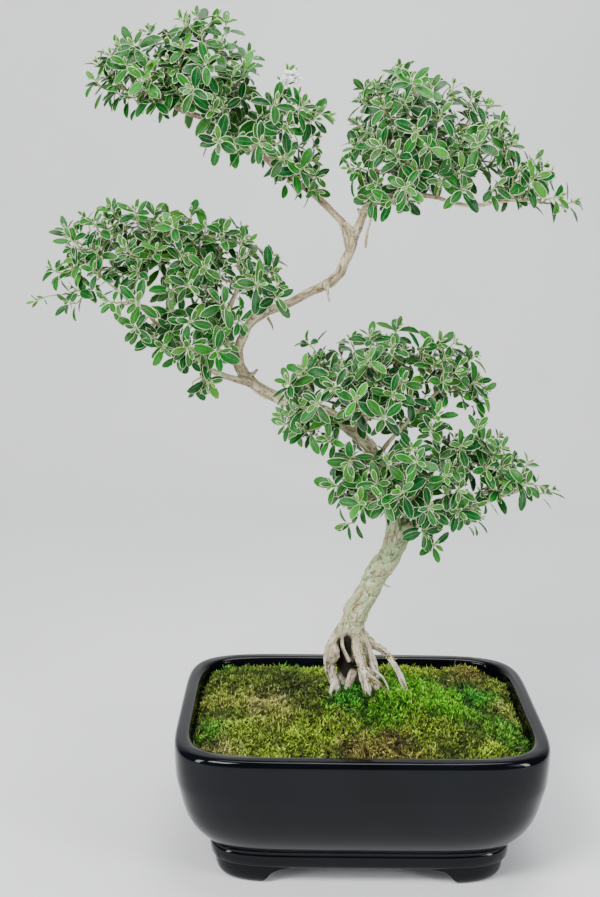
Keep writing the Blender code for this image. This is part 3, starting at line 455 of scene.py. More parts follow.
def tube_arrays(line, sides, tip=0.6):
    """Vertices and faces of a closed tapering tube along rows of (x, y, z, radius)."""
    pts, rad = line[:, :3], line[:, 3].copy()
    n = len(pts)
    tangent = unit(np.gradient(pts, axis=0))
    ref = np.array([0.0, 0.0, 1.0]) if abs(tangent[0][2]) < 0.9 else np.array([1.0, 0.0, 0.0])
    side = unit(np.cross(tangent[0], ref))
    rings = []
    for i in range(n):
        side = unit(side - tangent[i] * side.dot(tangent[i]))
        up = np.cross(tangent[i], side)
        a = np.arange(sides) * 2 * math.pi / sides
        rings.append(pts[i] + rad[i] * (np.cos(a)[:, None] * side + np.sin(a)[:, None] * up))
    verts = np.vstack(rings + [pts[:1] - tangent[0] * rad[0] * 0.4, pts[-1:] + tangent[-1] * rad[-1] * tip])
    i, j = np.meshgrid(np.arange(n - 1), np.arange(sides), indexing="ij")
    i, j = i.ravel(), j.ravel()
    k = (j + 1) % sides
    quads = np.stack([i * sides + j, i * sides + k, (i + 1) * sides + k, (i + 1) * sides + j], 1)
    j = np.arange(sides)
    k = (j + 1) % sides
    caps = np.vstack([np.stack([np.full(sides, n * sides), k, j], 1), np.stack([np.full(sides, n * sides + 1), (n - 1) * sides + j, (n - 1) * sides + k], 1)])
    return verts, quads, caps


def join_tubes(lines, sides_of, extra=None):
    vs, qs, ts, ex, base = [], [], [], [], 0
    for index, line in enumerate(lines):
        v, q, t = tube_arrays(line, sides_of(line))
        vs.append(v)
        qs.append(q + base)
        ts.append(t + base)
        if extra is not None:
            s = sides_of(line)
            e = extra[index]
            ex.append(np.concatenate([np.repeat(e, s), e[:1], e[-1:]]))
        base += len(v)
    return np.vstack(vs), np.vstack(qs), np.vstack(ts), (np.concatenate(ex) if extra is not None else None)


# ---- foliage: where the shoot tips are ----------------------------------------------------
# Shoot tips that show best, as frame pixels and depth (y, mm) for each pad of foliage.
KEY = {
    "upper_left": [(135, 48, -14), (98, 84, -6), (113, 60, -2), (129, 68, -16), (145, 80, -22), (150, 96, -20), (135, 100, -16), (120, 88, -8),
                   (188, 30, -4), (198, 22, 2), (184, 52, -14), (206, 66, -22), (193, 90, -30), (168, 88, -14), (172, 66, -10), (219, 52, -6), (244, 73, -6), (247, 60, 8),
                   (213, 112, -18), (219, 142, -26), (235, 142, -18), (259, 143, -26), (280, 88, -12), (274, 104, -22), (300, 108, -6), (312, 120, 4), (286, 128, -20), (284, 158, -16),
                   (300, 170, -8), (312, 176, 0), (312, 190, 4), (262, 118, -8), (238, 96, 6), (204, 40, 10), (160, 100, 4), (226, 28, 6)],
    "upper_right": [(398, 78, 0), (412, 84, -14), (380, 88, 6), (385, 110, -14), (372, 106, 4), (405, 104, -22), (432, 92, -8), (446, 100, 2), (470, 102, 4), (440, 118, -22),
                    (417, 132, -34), (374, 150, -14), (358, 150, 2), (360, 168, -6), (383, 148, -28), (398, 158, -30), (430, 148, -32), (448, 156, -18), (456, 138, -6), (470, 122, 6),
                    (484, 128, -10), (478, 146, -22), (508, 148, -12), (531, 163, -10), (494, 188, -24), (532, 180, -14), (552, 198, -12), (440, 180, -20), (406, 188, -34), (392, 200, -22),
                    (372, 200, -10), (378, 184, -16), (412, 172, 4), (500, 172, 4), (462, 190, -26), (425, 108, 16), (464, 176, 8), (486, 112, 14)],
    "mid_left": [(136, 214, -12), (174, 227, -20), (191, 219, 0), (74, 242, -14), (78, 262, -18), (96, 226, -12), (74, 269, -10), (111, 302, -42), (138, 303, -44), (127, 250, -26),
                 (150, 244, -10), (113, 212, 4), (155, 218, 8), (205, 232, -4), (222, 235, -8), (241, 244, -6), (238, 262, -12), (257, 285, -34), (275, 298, -24), (224, 305, -38), (238, 322, -20),
                 (204, 269, -22), (188, 285, -30), (172, 290, -18), (160, 262, -8), (216, 351, -26), (188, 348, -30), (163, 346, -24), (153, 336, -14), (207, 381, -16), (77, 290, -10), (96, 272, -24),
                 (190, 322, -34), (225, 345, -10), (205, 300, -6), (170, 312, -10), (118, 272, 2), (270, 272, -6), (56, 272, -6), (100, 250, 6), (206, 330, 6)],
    "low_top": [(306, 372, -14), (290, 385, -24), (322, 365, -4), (302, 408, -26), (318, 404, -36), (288, 424, -18), (305, 430, -22), (330, 440, -30), (370, 362, -26), (370, 340, -4), (352, 345, 6), (392, 350, -12),
                (356, 400, -42), (356, 410, -30), (384, 418, -44), (392, 395, -28), (375, 385, -16), (400, 368, -2), (420, 352, 2), (442, 362, -10), (438, 345, 8), (455, 368, -4), (441, 383, -18),
                (410, 400, -14), (424, 398, 6), (472, 384, -8), (480, 392, -4), (396, 332, 14), (340, 372, 12), (340, 424, -14), (402, 422, 6), (350, 460, -34), (336, 388, -34), (478, 402, 4)],
    "low_bottom": [(346, 474, -18), (350, 458, -10), (416, 462, -46), (412, 450, -36), (432, 432, -26), (436, 418, -16), (476, 430, -18), (484, 444, -10), (498, 450, -14), (460, 448, -22), (360, 503, -34), (384, 500, -40),
                   (402, 492, -44), (428, 508, -36), (432, 512, -30), (446, 478, -34), (458, 490, -28), (472, 506, -16), (458, 511, -24), (398, 503, -20), (378, 484, -34), (364, 486, -24), (500, 468, -8), (515, 480, -14),
                   (524, 486, -18), (496, 492, -10), (440, 462, -8), (470, 470, 4), (408, 478, -18), (388, 464, -30), (442, 514, -14), (420, 488, 10), (452, 500, 12), (372, 466, -6), (336, 486, -12), (510, 462, 8), (423, 531, -20)],
}
# Soft body of each pad: ellipsoids as (u, v, y, half width, half depth, half height in mm, how many tips)
BODY = {
    "upper_left": [(150, 72, 6, 34, 30, 26, 21), (205, 78, 8, 34, 36, 30, 24), (255, 115, 10, 38, 34, 28, 24), (296, 165, 10, 18, 18, 18, 8)],
    "upper_right": [(405, 125, 10, 36, 40, 36, 30), (400, 180, 4, 28, 30, 20, 12), (465, 140, 8, 36, 32, 26, 18), (525, 184, -6, 20, 18, 14, 8)],
    "mid_left": [(110, 255, 8, 32, 34, 30, 22), (165, 262, 12, 38, 42, 36, 27), (225, 275, 10, 34, 36, 32, 21), (190, 335, 0, 32, 28, 22, 14)],
    "low_top": [(345, 385, 8, 38, 40, 30, 22), (400, 380, 10, 40, 40, 32, 24), (450, 378, 4, 22, 24, 18, 9), (310, 415, 0, 20, 24, 20, 9)],
    "low_bottom": [(385, 480, -2, 36, 36, 26, 20), (445, 480, 2, 40, 40, 32, 24), (490, 465, 0, 30, 28, 20, 12)],
}


def pad_centre(pad):
    rows = BODY[pad]
    w = sum(r[6] for r in rows)
    return sum(at_depth(r[0], r[1], r[2]) * r[6] for r in rows) / w


tips = []  # (position, pad, key?)
for pad, rows in KEY.items():
    for u, v, y in rows:
        tips.append((at_depth(u, v, y - 4), pad, True))
for node in sorted(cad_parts):
    if node.startswith("spray_"):
        lo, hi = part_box(node)
        p = (np.array(lo) + np.array(hi)) / 2 * 1000 - SHIFT
        pad = node[6:].rsplit("_", 1)[0]
        if pad == "low_bottom" and p[0] < 5 and p[2] < 245:
            p = p + np.array([8.0, 0.0, 8.0])
        if min(np.linalg.norm(p - q) for q, _, _ in tips) > 7.0:
            tips.append((p, pad, False))
for pad, rows in BODY.items():
    for u, v, y, hx, hy, hz, count in rows:
        c = at_depth(u, v, y)
        made = tries = 0
        while made < count and tries < 600:
            tries += 1
            d = unit(RNG.normal(size=3))
            d[2] = d[2] * 0.9 + 0.1
            p = c + d * np.array([hx, hy, hz]) * RNG.uniform(0.45, 1.0) ** 0.5
            near = 7.6 if p[1] < c[1] - 5 else 9.0
            if min(np.linalg.norm(p - q) for q, _, _ in tips) > near:
                tips.append((p, pad, False))
                made += 1

# Shoots that stand clear of the pads: frame pixels and depth along the shoot, and leaf length in mm.
SPRIGS = [
    ("mid_left", [(80, 290, -8), (66, 294, -10), (49, 296, -12), (38, 300, -12)], 9.0),
    ("upper_right", [(452, 104, 2), (462, 104, 2), (474, 105, 2), (486, 105, 2)], 4.0),
    ("upper_right", [(452, 104, 2), (452, 96, 0), (453, 88, -1)], 9.0),
    ("low_bottom", [(518, 482, -14), (530, 484, -14), (540, 486, -14)], 12.0),
    ("upper_left", [(300, 108, -4), (312, 112, -4), (322, 114, -4)], 13.0),
    ("mid_left", [(207, 362, -14), (209, 374, -16), (208, 381, -16)], 12.0),
    ("upper_left", [(198, 34, 0), (206, 27, 0), (212, 22, 0)], 14.0),
    ("upper_left", [(190, 34, -4), (184, 24, -4)], 13.0),
    ("upper_left", [(278, 104, 4), (283, 94, 3), (286, 84, 2), (287, 78, 2)], 12.0),
]

flower_at = (np.array(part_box("flower")[0]) + np.array(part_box("flower")[1])) / 2 * 1000 - SHIFT
tips = [t for t in tips if np.linalg.norm((t[0] - flower_at) * np.array([1.0, 0.45, 1.0])) > 13.0 or t[0][2] < flower_at[2] - 14.0]

# ---- twigs: each tip is joined to the nearest wood, or to a twig already there ------------------
dense = [spline(WOOD[k], 3.0) for k in WOOD if not k.startswith(("root", "trunk"))]
pool_p = np.vstack([d[:, :3] for d in dense])
pool_r = np.concatenate([d[:, 3] for d in dense])
pool_id = np.full(len(pool_p), -1)
order = sorted(range(len(tips)), key=lambda i: float(np.min(np.linalg.norm(pool_p[: len(pool_p)] - tips[i][0], axis=1))))
twigs = []
parent = []
for i in order:
    tip, pad, key = tips[i]
    centre = pad_centre(pad)
    out = unit(tip - centre)
    away = tip - pool_p
    dist = np.linalg.norm(away, axis=1)
    dirs = away / np.maximum(dist, 1e-6)[:, None]
    cost = dist * (1.0 + 0.35 * (1 - dirs @ unit(out * 0.6 + np.array([0, 0, 0.5])))) + np.where(dist < 5.0, 30.0, 0.0)
    cost = cost - np.where(pool_id < 0, 2.5, 0.0)
    j = int(np.argmin(cost))
    start = pool_p[j]
    length = dist[j]
    # The shoot leaves along the straight line and bends up and out to its own axis.
    axis = unit(out * 0.75 + np.array([0.0, -0.22 if tip[1] < centre[1] + 8 else 0.12, 0.55]) + RNG.normal(size=3) * 0.22)
    if key:
        axis = unit(axis + np.array([0.0, -0.42, 0.05]))
    mid = start * 0.5 + tip * 0.5 + RNG.normal(size=3) * length * 0.07 - np.array([0, 0, 0.06 * length])
    t = np.linspace(0, 1, max(4, int(length / 4.0) + 2))[:, None]
    b = tip - axis * min(8.0, length * 0.35)
    path = (1 - t) ** 3 * start + 3 * (1 - t) ** 2 * t * mid + 3 * (1 - t) * t**2 * b + t**3 * tip
    wiggle = RNG.normal(size=path.shape) * 0.35
    wiggle[0] = wiggle[-1] = 0
    path = path + wiggle
    twigs.append({"path": path, "axis": axis, "pad": pad, "key": key, "load": 1, "from": int(pool_id[j]), "r0": float(pool_r[j]), "tip": tip})
    parent.append(int(pool_id[j]))
    pool_p = np.vstack([pool_p, path[1:-2]]) if len(path) > 4 else pool_p
    added = len(pool_p) - len(pool_r)
    pool_r = np.concatenate([pool_r, np.full(added, 0.7)])
    pool_id = np.concatenate([pool_id, np.full(added, len(twigs) - 1)])
for pad, pts, size in SPRIGS:
    path = np.array([at_depth(*q) for q in pts])
    j = int(np.argmin(np.linalg.norm(pool_p - path[0], axis=1)))
    path = spline(np.vstack([pool_p[j], path]), 3.0)
    axis = unit(path[-1] - path[-3])
    twigs.append({"path": path, "axis": axis, "pad": pad, "key": True, "load": 1, "from": -1, "r0": 0.8, "tip": path[-1], "size": size})
    parent.append(-1)
for k in range(len(twigs) - 1, -1, -1):
    if parent[k] >= 0:
        twigs[parent[k]]["load"] += twigs[k]["load"]


# ---- leaves -------------------------------------------------------------------------------
T = np.array([0.0, 0.09, 0.27, 0.50, 0.74, 0.92, 1.0])
PROFILE = np.array([0.11, 0.17, 0.70, 1.0, 0.94, 0.52, 0.06])
S = np.array([-1.0, -0.70, 0.0, 0.70, 1.0])
NT, NS = len(T), len(S)


def leaf_faces():
    """Five columns on the upper face and three below, which share the margins."""
    top = np.arange(NT * NS).reshape(NT, NS)
    low = np.stack([top[:, 0], NT * NS + np.arange(NT), top[:, -1]], 1)
    quads, under = [], []
    for i in range(NT - 1):
        for j in range(NS - 1):
            quads.append([top[i, j], top[i, j + 1], top[i + 1, j + 1], top[i + 1, j]])
            under.append(0)
        for j in range(2):
            quads.append([low[i, j], low[i + 1, j], low[i + 1, j + 1], low[i, j + 1]])
            under.append(1)
    tris = []
    for i, flip in ((0, False), (NT - 1, True)):
        for j in range(NS - 1):
            t = [top[i, j], low[i, 1], top[i, j + 1]]
            tris.append(t[::-1] if flip else t)
    return np.array(quads), np.array(under), np.array(tris)


LEAF_QUADS, LEAF_SIDE, LEAF_TRIS = leaf_faces()


def leaf_arrays(base, aim, up, length, width, bend, fold, twist, young, tint, wave):
    """Vertices and attributes of many leaves at once. up is the upper face's side."""
    n = len(base)
    side = unit(np.cross(aim, up))
    up = np.cross(side, aim)
    up, side = up * np.cos(twist)[:, None] + side * np.sin(twist)[:, None], side * np.cos(twist)[:, None] - up * np.sin(twist)[:, None]
    pos = np.zeros((n, NT, 3))
    nrm = np.zeros((n, NT, 3))
    at = base.copy()
    for i in range(NT):
        ang = -0.25 * bend + bend * T[i] * 1.25
        d = aim * np.cos(ang)[:, None] - up * np.sin(ang)[:, None]
        if i:
            at = at + d * (length * (T[i] - T[i - 1]))[:, None]
        pos[:, i] = at
        nrm[:, i] = up * np.cos(ang)[:, None] + aim * np.sin(ang)[:, None]
    half = width[:, None] / 2 * PROFILE[None]
    s = S[None, None, :]
    across = half[:, :, None] * s
    lift = np.abs(across) * np.tan(fold)[:, None, None] + wave[:, None, None] * np.sin(T[None, :, None] * 9 + 3 * s + wave[:, None, None] * 40) * np.abs(s)
    thick = 0.16 * np.minimum(1.0, PROFILE * 1.6)
    top = pos[:, :, None] + side[:, None, None] * across[..., None] + nrm[:, :, None] * (lift + np.where(np.abs(s) < 0.99, thick[None, :, None], 0))[..., None]
    under = pos[:, :, None] + side[:, None, None] * across[..., None] + nrm[:, :, None] * (lift - thick[None, :, None])[..., None]
    under = under[:, :, 2:3]
    verts = np.concatenate([top.reshape(n, -1, 3), under.reshape(n, -1, 3)], 1)
    rim = np.minimum(half[:, :, None] * (1 - np.abs(s)), (1.02 - T[None, :, None]) * length[:, None, None] * 0.45)
    mid = across
    along = np.broadcast_to(T[None, :, None] * length[:, None, None], across.shape)

    def both(a):
        return np.concatenate([a.reshape(n, -1), a[:, :, 2:3].reshape(n, -1)], 1)

    nv = verts.shape[1]
    return verts, both(rim), both(mid), both(along), np.repeat(young[:, None], nv, 1), np.repeat(tint[:, None], nv, 1)


def rosette_leaves(twig, rng):
    """Leaves of one shoot: a row of (base, aim, up, length, width, bend, fold, twist, young, tint, wave)."""
    rows = []
    axis, tip = twig["axis"], twig["tip"]
    ref = unit(np.cross(axis, rng.normal(size=3)))
    big = rng.uniform(0.86, 1.08) * (1.0 if twig["key"] else 0.95)
    tone = rng.uniform(0, 1)
    pairs = [(-6.5, 84, 15.0), (-2.5, 74, 17.0), (0.5, 62, 15.0), (2.6, 44, 10.5), (4.0, 20, 6.0)]
    if not twig["key"] and rng.uniform() < 0.45:
        pairs = pairs[1:]
    if "size" in twig:
        size = twig["size"]
        pairs = [(-5.0, 52, size * 0.9), (-1.0, 38, size), (2.0, 20, size * 0.75)]
    if twig["pad"] == "mid_left" and tip[0] < -150 and rng.uniform() < 0.4:
        pairs = [(a, b * 0.8, c * 0.85) for a, b, c in pairs]
    turn = 0.0
    for k, (off, angle, length) in enumerate(pairs):
        turn += math.pi / 2 + rng.normal() * 0.12
        for side in (0, math.pi):
            if rng.uniform() < 0.09:
                continue
            phi = turn + side + rng.normal() * 0.12
            radial = ref * math.cos(phi) + np.cross(axis, ref) * math.sin(phi)
            a = math.radians(angle + rng.normal() * 9)
            aim = unit(axis * math.cos(a) + radial * math.sin(a))
            up = unit(axis * math.sin(a) - radial * math.cos(a))
            sag = 0.10 * max(0.0, 1 - aim[2])
            aim = unit(aim - np.array([0, 0, sag]))
            base = tip + axis * off + radial * 0.5
            size = length * big * rng.uniform(0.85, 1.12)
            young = np.clip({3: 0.25, 4: 0.9}.get(k + 5 - len(pairs), 0.0) + rng.normal() * 0.12, 0, 1)
            if k + 5 - len(pairs) < 3 and rng.uniform() < 0.04:
                young = rng.uniform(0.3, 0.7)
            rows.append((base, aim, up, size, size * rng.uniform(0.36, 0.44), rng.uniform(0.1, 0.75), math.radians(rng.uniform(4, 26)), rng.normal() * 0.18, young, np.clip(tone * 0.45 + rng.uniform(0, 0.62), 0, 1), rng.uniform(0.0, 0.28)))
    return rows


sprays = {}
for node in sorted(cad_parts):
    if node.startswith("spray_"):
        lo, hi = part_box(node)
        sprays[node] = (np.array(lo) + np.array(hi)) / 2 * 1000 - SHIFT
members = {node: [] for node in sprays}
for k, twig in enumerate(twigs):
    node = min(sprays, key=lambda n: float(np.linalg.norm(sprays[n] - twig["tip"])))
    members[node].append(k)


def twig_line(twig):
    """(x, y, z, radius) along a twig, and how green it is at each point."""
    p = twig["path"]
    n = len(p)
    r0 = min(0.46 + 0.20 * math.sqrt(twig["load"]), 1.5, twig["r0"] * 1.0)
    r = np.linspace(max(r0, 0.55), 0.5, n)
    line = np.hstack([p, r[:, None]])
    left = np.concatenate([np.cumsum(np.linalg.norm(np.diff(p, axis=0), axis=1)[::-1])[::-1], [0.0]])
    return line, np.clip(1.0 - (left - 5.0) / 12.0, 0, 1), left


n_leaves = 0
wood_twigs, wood_green = [], []
for node, ks in members.items():
    rng = np.random.default_rng(sum(map(ord, node)))
    rows, stems, greens = [], [], []
    for k in ks:
        twig = twigs[k]
        rows += rosette_leaves(twig, rng)
        line, green, left = twig_line(twig)
        cut = int(np.argmax(left <= 14.0))
        cut = max(0, min(cut, len(line) - 3))
        stem = np.vstack([line[cut:], np.append(twig["tip"] + twig["axis"] * 4.0, 0.35)])
        stems.append(stem)
        greens.append(np.append(green[cut:], 1.0))
        if cut >= 1:
            wood_twigs.append(line[: cut + 1])
            wood_green.append(green[: cut + 1] * 0.6)
        # Pairs of older leaves down the green part of the shoot.
        at = 13.0
        while at < min(left[0] - 3.0, 30.0):
            j = int(np.argmin(np.abs(left - at)))
            p = line[j, :3]
            d = unit(line[min(j + 1, len(line) - 1), :3] - line[max(j - 1, 0), :3])
            phi = rng.uniform(0, math.pi)
            ref = unit(np.cross(d, np.array([0.3, 0.2, 1.0])))
            for side in (0, math.pi):
                if rng.uniform() < 0.42:
                    continue
                radial = ref * math.cos(phi + side) + np.cross(d, ref) * math.sin(phi + side)
                a = math.radians(rng.uniform(50, 85))
                aim = unit(d * math.cos(a) + radial * math.sin(a))
                up = unit(d * math.sin(a) - radial * math.cos(a) + np.array([0, 0, 0.5]))
                size = rng.uniform(10, 16)
                rows.append((p, aim, up, size, size * rng.uniform(0.37, 0.46), rng.uniform(0.1, 0.7), math.radians(rng.uniform(4, 22)), rng.normal() * 0.2, max(0.0, rng.normal() * 0.08), rng.uniform(0, 0.8), rng.uniform(0, 0.28)))
            at += rng.uniform(7, 10)
    cols = [np.array([r[i] for r in rows], float) for i in range(11)]
    verts, rim, mid, along, young, tint = leaf_arrays(*cols)
    n, nv = verts.shape[:2]
    n_leaves += n
    offs = (np.arange(n) * nv)[:, None, None]
    quads = (LEAF_QUADS[None] + offs).reshape(-1, 4)
    tris = (LEAF_TRIS[None] + offs).reshape(-1, 3)
    q_mat = np.tile(LEAF_SIDE, n)
    t_mat = np.ones(len(tris), int)
    sv, sq, st, sg = join_tubes(stems, lambda line: 6, greens)
    base = n * nv
    verts = np.vstack([verts.reshape(-1, 3), sv])
    zero = np.zeros(len(sv))
    piece = new_mesh(
        "leaves_" + node[6:], verts,
        [quads, sq + base, tris, st + base],
        mats=[LEAF_TOP, LEAF_UNDER, STEM],
        mat_index=np.concatenate([q_mat, np.full(len(sq), 2), t_mat, np.full(len(st), 2)]),
        attrs={"rim": np.concatenate([rim.ravel(), zero]), "mid": np.concatenate([mid.ravel(), zero]), "along": np.concatenate([along.ravel(), zero]), "young": np.concatenate([young.ravel(), sg]), "tint": np.concatenate([tint.ravel(), zero])},
        sharp=None,
    )
    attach(piece, "root")
    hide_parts(node)
print("tips", len(twigs), "leaves", n_leaves)

# ---- wood: trunk, roots and branches ------------------------------------------------------
lines = [spline(WOOD[k], 1.5) for k in WOOD] + [spline(s, 1.5) for s in SNAGS]
sk_p = np.vstack([l[:, :3] for l in lines])
sk_t = np.vstack([unit(np.gradient(l[:, :3], axis=0)) for l in lines])
sk_r = np.concatenate([l[:, 3] for l in lines])
sk_warm = np.concatenate([np.full(len(l), w) for l, w in zip(lines, [{"up_left_branch": 1.0, "upper_right": 0.25, "up_left_front": 0.8, "up_left_back": 0.8, "up_left_rise": 0.8, "mid_low_left": 0.5, "right_long": 0.5, "low_up": 0.6}.get(k, 0.0) for k in WOOD] + [0.3] * len(SNAGS))])
sk_s = np.concatenate([np.arange(len(l)) * 1.5 + 37.0 * i for i, l in enumerate(lines)])


def lumpy(line, seed):
    """Swells and narrows a line's radius, so that no branch is an even tube."""
    line = line.copy()
    for i in range(len(line)):
        q = Vector((line[i, 0] * 0.07 + seed, line[i, 1] * 0.07, line[i, 2] * 0.07))
        line[i, 3] *= 1.0 + 0.16 * noise.noise(q) + 0.08 * noise.noise(q * 3.1)
        line[i, 0] += 0.35 * line[i, 3] * 0.3 * noise.noise(q * 2.2 + Vector((9, 0, 0)))
        line[i, 1] += 0.35 * line[i, 3] * 0.3 * noise.noise(q * 2.2 + Vector((0, 9, 0)))
    return line


wv, wq, wt, _ = join_tubes([lumpy(l, i * 3.7) for i, l in enumerate(lines)], lambda line: 16 if line[0, 3] > 3 else 10)
wood = new_mesh("trunk_bark", wv, [wq, wt])
mod = wood.modifiers.new("skin", "REMESH")
mod.mode = "VOXEL"
mod.voxel_size = 0.00086
mod = wood.modifiers.new("soften", "SMOOTH")
mod.factor = 0.5
mod.iterations = 3
dg = bpy.context.evaluated_depsgraph_get()
skin = bpy.data.meshes.new_from_object(wood.evaluated_get(dg))
wood.modifiers.clear()
old = wood.data
wood.data = skin
bpy.data.meshes.remove(old)
n = len(skin.vertices)
co = np.empty(n * 3, np.float32)
skin.vertices.foreach_get("co", co)
co = co.reshape(-1, 3) / MM - SHIFT
nrm = np.empty(n * 3, np.float32)
skin.vertices.foreach_get("normal", nrm)
nrm = nrm.reshape(-1, 3)
from mathutils import kdtree
tree = kdtree.KDTree(len(sk_p))
for i, p in enumerate(sk_p):
    tree.insert(Vector(p), i)
tree.balance()
push = np.zeros(n)
dark = np.zeros(n)
pit = np.zeros(n)
warm = np.zeros(n)
grain = np.zeros((n, 3))
for i in range(n):
    p = Vector(co[i])
    _, j, d = tree.find(p)
    r = sk_r[j]
    radial = co[i] - sk_p[j]
    radial = radial - sk_t[j] * radial.dot(sk_t[j])
    q = Vector((radial[0] + 0.7 * radial[2], radial[1] - 0.7 * radial[2], 0.13 * sk_s[j]))
    grain[i] = q
    warm[i] = sk_warm[j]
    big = min(r / 7.0, 1.15)
    ridge = 1.0 - 2.2 * abs(noise.noise(q * 0.42))
    plate = noise.noise(q * 0.30 + Vector((40, 0, 0)))
    plate = min(1.0, max(0.0, (plate + 0.06) / 0.12))
    crack = max(0.0, 1.0 - abs(noise.noise(q * 0.62 + Vector((0, 70, 0)))) / 0.10)
    lump = noise.noise(p * 0.12)
    push[i] = big * (0.55 * ridge + 0.55 * plate - 0.9 * crack + 1.1 * lump + 0.25 * noise.noise(p * 0.7)) - 0.12 * big
    # Painted shade in the cracks and ridge troughs.
    pit[i] = min(1.0, 0.95 * crack + max(0.0, -ridge) * 0.5)
    # Painted shade: the hollow between the left and the front root is painted near black, as deep shade.
    if 105 < p.z < 176:
        inside = math.exp(-((((p.x + 8.5) / 8.5) ** 2 + ((p.z - 143) / 18) ** 2) ** 3)) * min(1.0, max(0.0, (p.y - 1.0) / 2.5))
        dark[i] = min(1.0, inside * 1.8)
co += nrm * push[:, None]
skin.vertices.foreach_set("co", ((co + SHIFT) * MM).astype(np.float32).ravel())
for key, values in (("dark", dark), ("pit", pit), ("warm", warm)):
    a = skin.attributes.new(key, "FLOAT", "POINT")
    a.data.foreach_set("value", values.astype(np.float32))
a = skin.attributes.new("grain", "FLOAT_VECTOR", "POINT")
a.data.foreach_set("vector", grain.astype(np.float32).ravel())
skin.materials.clear()
skin.materials.append(BARK)
skin.shade_smooth()
skin.update()
print("bark faces", len(skin.polygons))
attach(wood, "root")
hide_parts("trunk_roots_and_branches")

tv, tq, tt, tg = join_tubes(wood_twigs, lambda line: 8, wood_green)
twig_obj = new_mesh("woody_twigs", tv, [tq, tt], mats=[TWIG], attrs={"young": tg})
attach(twig_obj, "root")

# ---- pot ----------------------------------------------------------------------------------
SQUARENESS = 6.0
OUTER = [(108.0, 129.6), (107.8, 130.9), (107.2, 132.1), (106.1, 133.1), (104.5, 133.75), (102.0, 134.0), (92.0, 133.9), (82.0, 133.5), (77.0, 132.6), (72.0, 131.5), (62.0, 129.5), (53.0, 127.0), (45.0, 123.5), (38.0, 119.1), (32.0, 114.3), (27.8, 110.6), (26.2, 109.6), (25.0, 109.5), (24.4, 109.9), (23.4, 110.2), (16.6, 109.9), (15.6, 109.2), (15.0, 108.2)]
INNER = [(112.0, 127.5), (108.05, 126.2), (107.4, 124.6), (106.2, 123.5), (104.0, 123.0), (84.0, 121.8), (66.0, 119.6), (50.0, 114.0), (38.0, 106.5), (25.0, 98.0), (22.0, 93.0)]


def plan(half_x, half_y, z, count):
    t = 2 * math.pi * (np.arange(count) + 0.5) / count
    # Points are spread evenly along the outline rather than by angle.
    fine = np.linspace(0, 2 * math.pi, 4001)
    c, s = np.cos(fine), np.sin(fine)
    k = (np.abs(c) ** SQUARENESS + np.abs(s) ** SQUARENESS) ** (-1 / SQUARENESS)
    x, y = half_x * k * c, half_y * k * s
    length = np.concatenate([[0], np.cumsum(np.hypot(np.diff(x), np.diff(y)))])
    want = (np.arange(count) + 0.5) / count * length[-1]
    return np.stack([np.interp(want, length, x), np.interp(want, length, y), np.full(count, float(z))], 1)


def loft(name, rings, mats=(), sharp=40):
    n, m = len(rings), len(rings[0])
    verts = np.vstack(rings)
    i, j = np.meshgrid(np.arange(n - 1), np.arange(m), indexing="ij")
    i, j = i.ravel(), j.ravel()
    k = (j + 1) % m
    quads = np.stack([i * m + j, (i + 1) * m + j, (i + 1) * m + k, i * m + k], 1)
    if rings[0][0][2] < rings[-1][0][2]:
        quads = quads[:, ::-1]
    ends = [np.arange(m)[None], ((n - 1) * m + np.arange(m)[::-1])[None]]
    if rings[0][0][2] < rings[-1][0][2]:
        ends = [e[:, ::-1] for e in ends]
    return new_mesh(name, verts, [quads] + ends, mats=mats, sharp=sharp)


def half_depth(a):
    return a - 34.0


def cut(obj, other, how):
    m = obj.modifiers.new(how.lower(), "BOOLEAN")
    m.operation = how
    m.solver = "EXACT"
    m.object = other
    g = bpy.context.evaluated_depsgraph_get()
    mesh = bpy.data.meshes.new_from_object(obj.evaluated_get(g))
    obj.modifiers.clear()
    old = obj.data
    obj.data = mesh
    bpy.data.meshes.remove(old)
    bpy.data.objects.remove(other)


N = 200
pot = loft("pot_glazed", [plan(a, half_depth(a), z, N) for z, a in OUTER] + [plan(106.6, 72.6, 14.0, N)], [GLAZE])
cut(pot, loft("hollow", [plan(a, half_depth(a) - 1.0, z, N) for z, a in INNER]), "DIFFERENCE")
plinth = loft("plinth", [plan(a, half_depth(a), z, N) for z, a in ((15.5, 106.9), (12, 106.9), (8, 106.7), (4.5, 106.2), (2.2, 105.3), (0.8, 104.2), (0.0, 103.0))], [GLAZE])
cut(plinth, loft("core", [plan(86, 52, z, N) for z in (14.0, -3.0)]), "DIFFERENCE")
for axis, half, far in (("x", 64.0, 130.0), ("y", 36.0, 160.0)):
    curve = [(-half - 10, -3), (-half - 7.5, 0), (-half - 4.6, 2.6), (-half - 2.4, 5.2), (-half - 0.6, 8.0), (-half + 2.4, 10.4), (-half + 6.5, 12.2), (-half + 14, 14.0)]
    curve = curve + [(-u, z) for u, z in reversed(curve)]
    rings = []
    for side in (-1, 1):
        if axis == "x":
            rings.append(np.array([(u, side * far, z) for u, z in curve], float))
        else:
            rings.append(np.array([(side * far, u, z) for u, z in curve], float))
    m = len(curve)
    j = np.arange(m)
    k = (j + 1) % m
    quads = np.stack([j, k, m + k, m + j], 1)
    ends = [np.arange(m)[::-1][None], (m + np.arange(m))[None]]
    arch = new_mesh("arch", np.vstack(rings), [quads] + ends, smooth=False)
    bm = bmesh.new()
    bm.from_mesh(arch.data)
    bmesh.ops.recalc_face_normals(bm, faces=bm.faces)
    bm.to_mesh(arch.data)
    bm.free()
    cut(plinth, arch, "DIFFERENCE")
cut(pot, plinth, "UNION")
for x in (-62.0, 62.0):
    c = np.arange(40) * 2 * math.pi / 40
    rings = [np.stack([x + 11 * np.cos(c), 11 * np.sin(c), np.full(40, z)], 1) for z in (40.0, 5.0)]
    cut(pot, loft("drain", rings), "DIFFERENCE")
